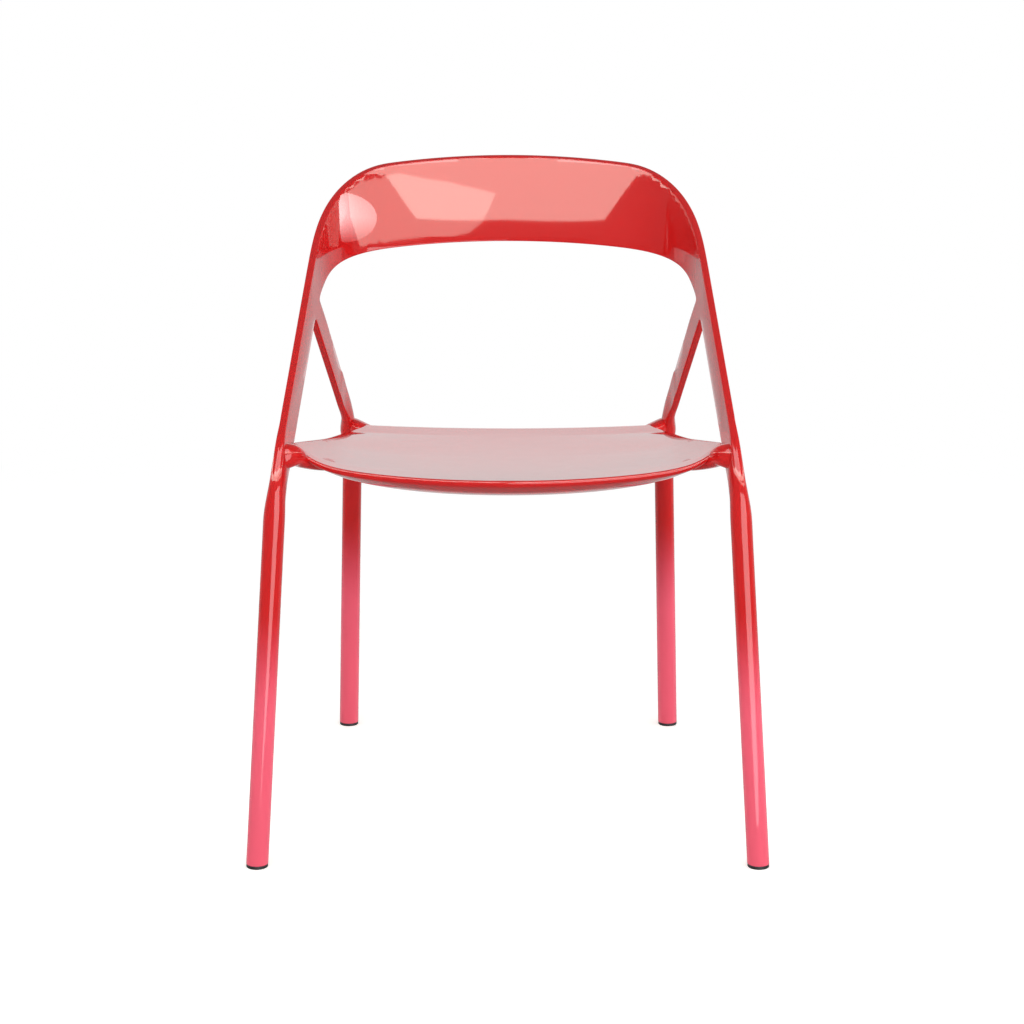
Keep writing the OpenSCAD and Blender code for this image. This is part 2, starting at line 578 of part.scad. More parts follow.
// The line of the rear leg, carried up to the height of the rear edge of the seat
rear_line = rear_foot + (rear_top - rear_foot) * (seat_rear_z / leg_joint_z);
rear_from = rear_line + [8.5, 2.4, 0.5];
rear_to = [0.8 * seat_half_w(seat_rear_y), seat_rear_y - 19, seat_rear_z - 9.5];
function neck_list(from, to, rows) =
    [for (r = rows) [[for (k = [0:2]) lerp(from[k], to[k], r[k])], r[3], r[4]]];
module neck(list) {
    m = len(list);
    ring_solid([for (i = [0:m - 1])
        let (d = unit(list[min(i + 1, m - 1)][0] - list[max(i - 1, 0)][0]), v = unit(cross(d, [-d[1], d[0], 0])))
        ring(list[i][0], unit(cross(v, d)), v, list[i][1], list[i][2], 2.4)]);
}
module front_bracket(right) {
    color("firebrick") placed() mirrored(right) difference() {
        neck(neck_list(front_from, front_to, front_rows));
        arm_solid();
        seat_clearance();
    }
}
module rear_bracket(right) {
    color("firebrick") placed() mirrored(right) difference() {
        neck(neck_list(rear_from, rear_to, rear_rows));
        strut_solid();
        seat_clearance();
    }
}

// Legs: tapered tubes with a true bore, cut parallel to the floor at the glide
module below_tube(foot) {
    translate([foot[0] - 40, foot[1] - 40, glide_h - 80]) cube([80, 80, 80]);
}
module leg_tube(foot, top) {
    over = 12;
    d = unit(top - foot);
    length = norm(top - foot);
    spread = (leg_foot_d - leg_top_d) / length * over;
    difference() {
        along(foot - d * over, top)
            cylinder(h = length + over, d1 = leg_foot_d + spread, d2 = leg_top_d, $fn = 96);
        along(foot - d * 2 * over, top)
            cylinder(h = length + 3 * over, d = leg_bore_d, $fn = 96);
        below_tube(foot);
    }
}
module front_leg(right) {
    color("hotpink") placed() mirrored(right) leg_tube(front_foot, front_top);
}
module rear_leg(right) {
    color("hotpink") placed() mirrored(right) leg_tube(rear_foot, rear_top);
}
// Stepped spigot: its wide end is in the leg, its narrow end in the member above
module spigot(foot, top) {
    d = unit(top - foot);
    difference() {
        union() {
            along(top - d * spigot_leg_len, top)
                cylinder(h = spigot_leg_len, d = leg_bore_d - 2 * leg_gap, $fn = 64);
            along(top - d, top)
                cylinder(h = joint_bore_len, d = joint_bore_d - 2 * leg_gap, $fn = 64);
        }
        along(top - d * (spigot_leg_len + 1), top)
            cylinder(h = spigot_leg_len + joint_bore_len + 2, d = spigot_bore_d, $fn = 48);
    }
}
module front_spigot(right) {
    color("silver") placed() mirrored(right) spigot(front_foot, front_top);
}
module rear_spigot(right) {
    color("silver") placed() mirrored(right) spigot(rear_foot, rear_top);
}
// Plug bonded in the end of a leg, with a bore for the stem of the glide
module leg_plug(foot, top) {
    d = unit(top - foot);
    difference() {
        along(foot - d * 12, top)
            cylinder(h = plug_len + 12, d = leg_bore_d - 2 * leg_gap, $fn = 64);
        along(foot - d * 14, top)
            cylinder(h = plug_len + 16, d = glide_stem_d + 2 * leg_gap, $fn = 48);
        below_tube(foot);
    }
}
module front_leg_plug(right) {
    color("gray") placed() mirrored(right) leg_plug(front_foot, front_top);
}
module rear_leg_plug(right) {
    color("gray") placed() mirrored(right) leg_plug(rear_foot, rear_top);
}
module glide(foot, top) {
    d = unit(top - foot);
    at = foot + d * (glide_h / d[2]) / 2;
    translate([at[0], at[1], 0]) cylinder(h = glide_h, d = glide_d, $fn = 96);
    along(at, top) cylinder(h = glide_stem_len, d = glide_stem_d, $fn = 48);
}
module front_glide(right) {
    color("black") placed() mirrored(right) glide(front_foot, front_top);
}
module rear_glide(right) {
    color("black") placed() mirrored(right) glide(rear_foot, rear_top);
}

seat_upper_skin();
seat_core();
seat_lower_skin();
backrest_front_skin();
backrest_core();
backrest_rear_skin();
side_frame(false);  // side_frame_left
side_frame(true);  // side_frame_right
arm(false);  // arm_left
arm(true);  // arm_right
rear_strut(false);  // rear_strut_left
rear_strut(true);  // rear_strut_right
front_leg(false);  // front_leg_left
front_leg(true);  // front_leg_right
rear_leg(false);  // rear_leg_left
rear_leg(true);  // rear_leg_right
front_spigot(false);  // front_spigot_left
front_spigot(true);  // front_spigot_right
rear_spigot(false);  // rear_spigot_left
rear_spigot(true);  // rear_spigot_right
arm_tongue(false);  // arm_tongue_left
arm_tongue(true);  // arm_tongue_right
strut_tongue(false);  // strut_tongue_left
strut_tongue(true);  // strut_tongue_right
back_tongue(false);  // back_tongue_left
back_tongue(true);  // back_tongue_right
front_bracket(false);  // front_bracket_left
front_bracket(true);  // front_bracket_right
rear_bracket(false);  // rear_bracket_left
rear_bracket(true);  // rear_bracket_right
front_leg_plug(false);  // front_leg_plug_left
front_leg_plug(true);  // front_leg_plug_right
rear_leg_plug(false);  // rear_leg_plug_left
rear_leg_plug(true);  // rear_leg_plug_right
front_glide(false);  // front_glide_left
front_glide(true);  // front_glide_right
rear_glide(false);  // rear_glide_left
rear_glide(true);  // rear_glide_right
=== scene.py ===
"""Visual model of a stacking guest chair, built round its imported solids.

The chair is one smooth lacquered shell: a U-shaped backrest that runs on into two flat side
frames, a thin dished seat carried on four necks, and four tapered legs on black glides.
Every length in the classes below is in millimetres, in a frame whose origin is on the floor
between the front feet. The last step of each mesh turns it into metres in the frame of the part.
"""

import logging
import math
from dataclasses import dataclass, field
from enum import Enum
from typing import Callable, Sequence

import bmesh
import bpy
from mathutils import Matrix, Vector


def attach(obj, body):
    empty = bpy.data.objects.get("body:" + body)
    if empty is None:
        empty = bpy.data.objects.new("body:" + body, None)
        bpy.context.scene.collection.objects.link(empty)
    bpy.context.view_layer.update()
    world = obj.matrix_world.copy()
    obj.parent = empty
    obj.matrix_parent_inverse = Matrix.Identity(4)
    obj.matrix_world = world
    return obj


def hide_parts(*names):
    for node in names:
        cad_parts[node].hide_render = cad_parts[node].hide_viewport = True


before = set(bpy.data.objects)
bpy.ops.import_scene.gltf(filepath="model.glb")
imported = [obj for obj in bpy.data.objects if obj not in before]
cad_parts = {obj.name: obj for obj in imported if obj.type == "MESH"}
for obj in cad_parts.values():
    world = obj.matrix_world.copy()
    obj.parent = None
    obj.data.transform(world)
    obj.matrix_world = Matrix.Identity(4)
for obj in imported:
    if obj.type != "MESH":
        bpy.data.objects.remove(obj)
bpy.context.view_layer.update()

LOG = logging.getLogger("guest_chair")
BODY = "root"
MM = 0.001
# Edges that turn by more than SHARP are shaded as edges, and a corner keeps its own normal
# where its cosine with the true one is SAME_WAY or less
SHARP = math.radians(50)
SAME_WAY = 0.7
# Distances in millimetres: at which a plane counts as through a vertex, up to which a vertex
# lies on a cut, below which vertices are merged, and on both sides of a point for its slope
CUT_SLACK = 0.001
ON_CUT = 0.01
WELD = 0.01
NEAR = 0.5
# Colours of the lacquer, of the pink that paints the pale floor's light onto the lower legs, of the
# ceiling's light and of the studio
RED = (0.62, 0.010, 0.011)
FLOOR_LIGHT_PINK = (0.93, 0.12, 0.2)
WARM = (1.0, 1.0, 0.89)
WHITE = (1.0, 1.0, 1.0, 1.0)


class Side(Enum):
    """The two sides of the chair, by the sign of x."""

    LEFT = -1
    RIGHT = 1

    @property
    def word(self) -> str:
        """The word that ends the names of the pieces on this side."""
        return self.name.lower()


class Edge(Enum):
    """The two long edges of a blade, by the sign of the distance from its middle."""

    LOWER = -1
    UPPER = 1


def lerp(a: float, b: float, t: float) -> float:
    """Return the value a share t of the way from a to b."""
    return a + (b - a) * t


def smooth(t: float) -> float:
    """Return t clamped to 0..1 and eased at both ends."""
    c = min(1.0, max(0.0, t))
    return c * c * (3 - 2 * c)


def slope(degrees: float) -> float:
    """Return the slope of a line at an angle in degrees."""
    return math.tan(math.radians(degrees))


def bezier(points: Sequence[Vector], t: float) -> Vector:
    """Return the point at t of a cubic curve.

    Args:
        points: The four control points.
        t: The place on the curve, from 0 to 1.

    Returns:
        The point.
    """
    a, b, c, d = points
    return (1 - t) ** 3 * a + 3 * t * (1 - t) ** 2 * b + 3 * t * t * (1 - t) * c + t**3 * d


def bezier_dir(points: Sequence[Vector], t: float) -> Vector:
    """Return the unit direction of a cubic curve at t."""
    a, b, c, d = points
    return ((1 - t) ** 2 * (b - a) + 2 * t * (1 - t) * (c - b) + t * t * (d - c)).normalized()


def through(values: Sequence[float], k: float) -> float:
    """Return a value on a smooth curve through numbers.

    Args:
        values: Four numbers in a row.
        k: Share of the way from the second to the third.

    Returns:
        The value.
    """
    p0, p1, p2, p3 = values
    bend = (2 * p0 - 5 * p1 + 4 * p2 - p3) * k * k
    return 0.5 * (2 * p1 + (p2 - p0) * k + bend + (3 * p1 - p0 - 3 * p2 + p3) * k**3)


@dataclass
class Tube:
    """Axis of one leg, from the centre of its foot to the joint at its top.

    Attributes:
        foot: Where the axis meets the floor.
        top: Where the axis meets the joint with the shell.
        foot_d: Diameter at the floor.
        top_d: Diameter at the joint.
    """

    foot: Vector
    top: Vector
    foot_d: float = 25.4
    top_d: float = 24.2

    @property
    def direction(self) -> Vector:
        """Unit vector up the leg."""
        return (self.top - self.foot).normalized()


@dataclass
class Legs:
    """Places of the four legs and the sizes of their glides.

    Attributes:
        front_feet_span: Distance between the front feet.
        rear_feet_span: Distance between the rear feet.
        feet_depth: Distance from the front to the rear feet.
        front_top_span: Distance between the tops of the front legs.
        rear_top_span: Distance between the tops of the rear legs.
        rear_top_depth: Distance from the front feet back to the tops of the rear legs.
        joint_z: Height of the joints between the legs and the shell.
        glide_h: Height of a glide.
        glide_d: Diameter of a glide.
    """

    front_feet_span: float = 572.0
    rear_feet_span: float = 431.0
    feet_depth: float = 524.0
    front_top_span: float = 519.0
    rear_top_span: float = 399.0
    rear_top_depth: float = 431.0
    joint_z: float = 380.0
    glide_h: float = 4.0
    glide_d: float = 25.0

    @property
    def front(self) -> Tube:
        """The right front leg."""
        return Tube(
            Vector((self.front_feet_span / 2, 0, 0)),
            Vector((self.front_top_span / 2, 0, self.joint_z)),
        )

    @property
    def rear(self) -> Tube:
        """The right rear leg."""
        return Tube(
            Vector((self.rear_feet_span / 2, self.feet_depth, 0)),
            Vector((self.rear_top_span / 2, self.rear_top_depth, self.joint_z)),
        )

    @property
    def middle_y(self) -> float:
        """Middle of the footprint, which is y = 0 in the frame of the part."""
        slope = (self.rear_top_depth - self.feet_depth) / self.joint_z
        spread = self.rear.foot_d / 2 * (math.sqrt(1 + slope**2) - 1)
        return (self.feet_depth + self.glide_h * slope + spread) / 2


LEGS = Legs()


def to_part_frame(bm: bmesh.types.BMesh) -> None:
    """Scale a finished mesh to metres and move it into the frame of the part."""
    bmesh.ops.translate(bm, verts=bm.verts, vec=(0, -LEGS.middle_y, 0))
    bmesh.ops.scale(bm, verts=bm.verts, vec=(MM, MM, MM))


def whole(bm: bmesh.types.BMesh) -> list:
    """Return every vertex, edge and face of a mesh."""
    return bm.verts[:] + bm.edges[:] + bm.faces[:]


def only(parts: Sequence, kind: type) -> list:
    """Return the parts of one kind, such as the edges among what an operator gives back."""
    return [part for part in parts if isinstance(part, kind)]


def corners(bm: bmesh.types.BMesh) -> list:
    """Return the edges at which two faces meet at more than a radian."""
    return [edge for edge in bm.edges if edge.calc_face_angle(0) > 1]


def slice_plane(
    bm: bmesh.types.BMesh,
    place: Sequence[float],
    way: Sequence[float],
    parts: list | None = None,
    drop: bool = False,
) -> list:
    """Cut a mesh along a plane.

    Args:
        bm: The mesh.
        place: A point of the plane.
        way: The normal of the plane.
        parts: What is cut, or None for the whole mesh.
        drop: True to delete what lies on the side that the normal points to.

    Returns:
        The edges that lie in the cut.
    """
    out = bmesh.ops.bisect_plane(
        bm, geom=parts or whole(bm), dist=CUT_SLACK, plane_co=place, plane_no=way, clear_outer=drop
    )
    return only(out["geom_cut"], bmesh.types.BMEdge)


def thicken(bm: bmesh.types.BMesh, faces: list, depth: float) -> None:
    """Make a plate of flat faces, downwards.

    Args:
        bm: The mesh.
        faces: The faces.
        depth: Thickness of the plate.
    """
    out = bmesh.ops.extrude_face_region(bm, geom=faces)
    bmesh.ops.translate(bm, verts=only(out["geom"], bmesh.types.BMVert), vec=(0, 0, -depth))
    bmesh.ops.recalc_face_normals(bm, faces=bm.faces)


def round_edges(bm: bmesh.types.BMesh, edges: list, radius: float, segments: int) -> None:
    """Round some edges of a mesh.

    Args:
        bm: The mesh.
        edges: The edges.
        radius: Radius of the rounding.
        segments: Faces across the rounding.
    """
    bmesh.ops.bevel(
        bm, geom=edges, offset=radius, offset_type="OFFSET", segments=segments, profile=0.5,
        affect="EDGES", material=-1, clamp_overlap=False,
    )


def mirror_x(bm: bmesh.types.BMesh, keep: bool) -> None:
    """Mirror a mesh in the plane x = 0.

    Args:
        bm: The mesh.
        keep: True to keep the first half and weld the two together.
    """
    if keep:
        bmesh.ops.mirror(bm, geom=whole(bm), axis="X", merge_dist=WELD)
        bmesh.ops.remove_doubles(bm, verts=bm.verts, dist=WELD)
    else:
        bmesh.ops.scale(bm, verts=bm.verts, vec=(-1, 1, 1))
    bmesh.ops.recalc_face_normals(bm, faces=bm.faces)


def sweep(bm: bmesh.types.BMesh, loop: list, place: Sequence[Callable]) -> list:
    """Extrude a loop of edges step by step.

    Args:
        bm: The mesh.
        loop: The edges of the open end.
        place: For each step, a function that gives the place of a vertex from its key.

    Returns:
        The edges of the new open end.
    """
    key = bm.verts.layers.int["key"]
    facing = bm.verts.layers.float_vector.get("facing")
    for step in place:
        out = bmesh.ops.extrude_edge_only(bm, edges=loop)
        for vert in only(out["geom"], bmesh.types.BMVert):
            vert.co = step(vert[key])
            if facing:
                vert[facing] = (0, 0, 0)
        loop = [edge for edge in only(out["geom"], bmesh.types.BMEdge) if edge.is_boundary]
    return loop


def set_normals(mesh: bpy.types.Mesh, known: Sequence[Vector]) -> None:
    """Give a mesh the true normals of its curved faces.

    Args:
        mesh: The mesh.
        known: The normal at each vertex, or a zero vector where the mesh's own is kept.
    """
    normals = []
    for loop, own in zip(mesh.loops, mesh.corner_normals):
        true = known[loop.vertex_index]
        normals.append(true if true.dot(own.vector) > SAME_WAY else own.vector.copy())
    mesh.normals_split_custom_set(normals)


def add_object(name: str, data: bpy.types.ID) -> bpy.types.Object:
    """Add an object to the scene.

    Args:
        name: Its name.
        data: Its mesh or camera.

    Returns:
        The object.
    """
    made = bpy.data.objects.new(name, data)
    bpy.context.scene.collection.objects.link(made)
    return made


def finish_piece(
    bm: bmesh.types.BMesh,
    name: str,
    material: bpy.types.Material,
    replaces: Sequence[str],
) -> None:
    """Turn a mesh in millimetres into a piece of the chair.

    Args:
        bm: The mesh, which is used up.
        name: Name of the piece.
        material: Its finish.
        replaces: The solids that it stands for.
    """
    to_part_frame(bm)
    bmesh.ops.recalc_face_normals(bm, faces=bm.faces)
    for face in bm.faces:
        face.smooth = True
    for edge in bm.edges:
        edge.smooth = edge.calc_face_angle(0) < SHARP
    mesh = bpy.data.meshes.new(name)
    bm.to_mesh(mesh)
    facing = bm.verts.layers.float_vector.get("facing")
    if facing:
        ways = [(vert[facing], vert.co.x) for vert in bm.verts]
        set_normals(mesh, [Vector((math.copysign(way.x, x), way.y, way.z)) for way, x in ways])
    bm.free()
    mesh.materials.append(material)
    piece = add_object(name, mesh)
    if not facing:
        normals = piece.modifiers.new("face_weighted_normals", "WEIGHTED_NORMAL")
        normals.mode = "FACE_AREA"
        normals.weight = 50
        normals.keep_sharp = True
    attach(piece, BODY)
    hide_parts(*replaces)
    LOG.info("piece %s: %d faces", name, len(mesh.polygons))


def finish_sided(
    bm: bmesh.types.BMesh,
    side: Side,
    name: str,
    node: str,
    material: bpy.types.Material,
) -> None:
    """Turn a mesh of the right side into the piece of one side.

    Args:
        bm: The mesh, which is used up.
        side: The side.
        name: Name of the piece, without its side.
        node: The solid that it stands for, without its side.
        material: Its finish.
    """
    if side is Side.LEFT:
        mirror_x(bm, keep=False)
    finish_piece(bm, f"{name}_{side.word}", material, [f"{node}_{side.word}"])


def stage_mesh(
    bm: bmesh.types.BMesh,
    name: str,
    material: bpy.types.Material,
    seen: Sequence[bool],
    at: Matrix | None = None,
) -> None:
    """Turn a mesh in metres into something of the studio.

    Args:
        bm: The mesh, which is used up.
        name: Its name.
        material: Its material.
        seen: Whether the camera, diffuse light and gloss see it.
        at: Its place, or None for the origin.
    """
    mesh = bpy.data.meshes.new(name)
    bm.to_mesh(mesh)
    bm.free()
    mesh.materials.append(material)
    made = add_object(name, mesh)
    if at is not None:
        made.matrix_world = at
    made.visible_camera, made.visible_diffuse, made.visible_glossy = seen


@dataclass
class WallShape:
    """The curved wall of which the backrest and the side frames are cut.

    In plan the wall turns slowly across the back, quickly round the corner, and is straight
    along the side. s is the distance along it from the middle, z the height.

    Attributes:
        arm_z: Height at which the line of the arms' top edge passes over the front feet.
        arm_pitch: Slope of the arms, in degrees.
        frame_t: Thickness of the side frames.
        toe: How far the sides turn in towards the back, in degrees.
        flare: How far the sides lean out, in degrees.
        back_y: Place of the middle of the backrest at the height ref_z.
        back_r: Radius of the backrest in plan.
        corner_start: Where the corner starts.
        corner_peak: Where the corner turns fastest.
        corner_end: Where the corner ends and the straight side starts.
        back_low_z: Height of the lower edge of the backrest in its middle.
        back_lean: How far the backrest leans back, in degrees.
        back_t: Thickness of the backrest.
        ref_z: Height at which the plan curve holds.
        step: Step of the table of the plan curve.
        low_arc: Distance and fall of the arc of the lower edge.
        low_fall: Distance and fall of its steeper end.
        curve_z: Heights between which the flat side goes over into the curved wall.
        rim_slant: Share of the slope of the arms at which the top edge is cut off.
        thick_s: Where the wall starts to get thicker, and over which distance.
        slant_s: Where the slant of the top edge starts to fade.
        slant_z: Depth below the top edge over which its slant fades.
        table: The plan curve, as x and y at each step.
    """

    arm_z: float = 480.0
    arm_pitch: float = 33.5
    frame_t: float = 8.4
    toe: float = 6.4
    flare: float = 3.44
    back_y: float = 425.5
    back_r: float = 972.0
    corner_start: float = 136.0
    corner_peak: float = 166.0
    corner_end: float = 358.0
    back_low_z: float = 666.0
    back_lean: float = 11.3
    back_t: float = 5.2
    ref_z: float = 700.0
    step: float = 2.0
    low_arc: tuple = (168.0, 9.0)
    low_fall: tuple = (252.0, 5.5)
    curve_z: tuple = (560.0, 612.0)
    rim_slant: float = 0.7
    thick_s: tuple = (60.0, 230.0)
    slant_s: float = 240.0
    slant_z: float = 30.0
    table: list = field(default_factory=list)

    def __post_init__(self) -> None:
        """Work out the plan curve once, as a table of x and y."""
        x, y, s = 0.0, self.back_y, 0.0
        while s <= self.corner_end + 2 * self.step:
            self.table.append((x, y))
            turn = math.radians(self.heading(s + self.step / 2))
            x += math.cos(turn) * self.step
            y -= math.sin(turn) * self.step
            s += self.step

    @property
    def turn(self) -> float:
        """Heading of the straight side, in degrees."""
        return 90 - self.toe

    def heading(self, s: float) -> float:
        """Return the heading of the wall at s.

        Args:
            s: Distance along the wall.

        Returns:
            The heading, in degrees.
        """
        fade = self.corner_end - self.corner_start
        rise, fall = self.corner_peak - self.corner_start, self.corner_end - self.corner_peak
        base_turn = math.degrees((self.corner_start + fade / 2) / self.back_r)
        rate = (self.turn - base_turn) * 2 / fade
        a = min(s, self.corner_start)
        b = max(0.0, min(s, self.corner_end) - self.corner_start)
        base = math.degrees((a + b - b * b / (2 * fade)) / self.back_r)
        if s <= self.corner_start:
            return base
        e = min(s, self.corner_end) - self.corner_peak
        width, half = (rise, rise / 2) if e <= 0 else (fall, rise / 2)
        wave = width / (2 * math.pi) * math.sin(math.pi * e / width)
        return base + rate * (half + e / 2 + wave)

    def straight(self, s: float) -> tuple:
        """Return a point of the straight side, which is carried on behind the corner.

        Args:
            s: Distance along the wall.

        Returns:
            x and y.
        """
        x, y = self.plan(self.corner_end)
        turn, extra = math.radians(self.turn), s - self.corner_end
        return x + extra * math.cos(turn), y - extra * math.sin(turn)

    def plan(self, s: float) -> tuple:
        """Return a point of the plan curve.

        Args:
            s: Distance along the wall.

        Returns:
            x and y.
        """
        if s > self.corner_end:
            return self.straight(s)
        i = int(s / self.step)
        t = s / self.step - i
        (x0, y0), (x1, y1) = self.table[i], self.table[i + 1]
        return lerp(x0, x1, t), lerp(y0, y1, t)

    def raised(self, foot: tuple, turn: float, z: float, off: float) -> Vector:
        """Return the point over a point of the plan curve.

        Args:
            foot: x and y of the plan point.
            turn: Heading of the wall there, in degrees.
            z: Height.
            off: Offset outwards from the outer face.

        Returns:
            The point.
        """
        turn, dz = math.radians(turn), z - self.ref_z
        x = foot[0] + (dz * slope(self.flare) + off) * math.sin(turn)
        return Vector((x, foot[1] + (dz * slope(self.back_lean) + off) * math.cos(turn), z))

    def outer(self, s: float, z: float, off: float) -> Vector:
        """Return a point of the wall, at an offset outwards from its outer face.

        Args:
            s: Distance along the wall, below zero on the left.
            z: Height.
            off: The offset.

        Returns:
            The point.
        """
        point = self.raised(self.plan(abs(s)), self.heading(abs(s)), z, off)
        point.x = math.copysign(point.x, s)
        return point

    def flat(self, s: float, z: float, off: float) -> Vector:
        """Return the same point of the side, carried on as a plane behind the corner."""
        return self.raised(self.straight(s), self.turn, z, off)

    def side_s(self, y: float, z: float) -> float:
        """Return where a point of the middle plane of the side lies along the wall.

        Args:
            y: Depth.
            z: Height.

        Returns:
            The distance along the wall.
        """
        turn = math.radians(self.turn)
        back = (z - self.ref_z) * slope(self.back_lean) - self.frame_t / 2
        start_y = self.plan(self.corner_end)[1]
        return self.corner_end + (start_y + back * math.cos(turn) - y) / math.sin(turn)

    def side(self, y: float, z: float, off: float = 0.0) -> Vector:
        """Return a point of the side, at an offset from its middle plane."""
        return self.flat(self.side_s(y, z), z, off - self.frame_t / 2)

    def thickness(self, s: float) -> float:
        """Return the thickness of the wall at s."""
        start, length = self.thick_s
        return lerp(self.back_t, self.frame_t, smooth((abs(s) - start) / length))

    def rim_z(self, s: float) -> float:
        """Return the height of the top edge, where the plane of the arms cuts the wall.

        Args:
            s: Distance along the wall.

        Returns:
            The height.
        """
        turn, lean = math.cos(math.radians(self.heading(s))), slope(self.back_lean)
        pitch = slope(self.arm_pitch)
        top = self.arm_z + (self.plan(s)[1] - self.ref_z * lean * turn) * pitch
        return top / (1 - lean * turn * pitch)

    def rim_drop(self, s: float) -> float:
        """Return how much lower the top edge is at the inner face, as it is cut off at a slant.

        Args:
            s: Distance along the wall.

        Returns:
            The difference in height.
        """
        across = self.thickness(s) * math.cos(math.radians(self.heading(abs(s))))
        fade = 1 - smooth((abs(s) - self.slant_s) / (self.corner_end - self.slant_s))
        return self.rim_slant * across * slope(self.arm_pitch) * fade

    def plate_normal(self, s: float, z: float, off: float) -> Vector:
        """Return the direction that a face of the wall faces.

        Args:
            s: Distance along the wall.
            z: Height.
            off: Depth in the pattern, which tells the inner from the outer face.

        Returns:
            The unit normal.
        """
        along = self.plate_point(s + NEAR, z, off) - self.plate_point(s - NEAR, z, off)
        up = self.plate_point(s, z + NEAR, off) - self.plate_point(s, z - NEAR, off)
        return along.cross(up).normalized() * (1 if off > -self.frame_t / 2 else -1)

    def low_z(self, s: float) -> float:
        """Return the height of the lower edge of the backrest at s."""
        arc = self.low_arc[1] * (s / self.low_arc[0]) ** 2
        return self.back_low_z - arc - self.low_fall[1] * (s / self.low_fall[0]) ** 6

    def plate_point(self, s: float, z: float, off: float) -> Vector:
        """Map a point of the flat pattern of the frame onto the wall.

        Args:
            s: Distance along the wall.
            z: Height.
            off: Depth in a pattern of the thickness of the side frame, 0 at the outer face.

        Returns:
            The point on the wall.
        """
        depth = off / self.frame_t * self.thickness(s)
        z += self.rim_drop(s) * off / self.frame_t * smooth((z - self.rim_z(s)) / self.slant_z + 1)
        low, high = self.curve_z
        share = smooth((z - low) / (high - low))
        return self.flat(s, z, depth).lerp(self.outer(s, z, depth), share)


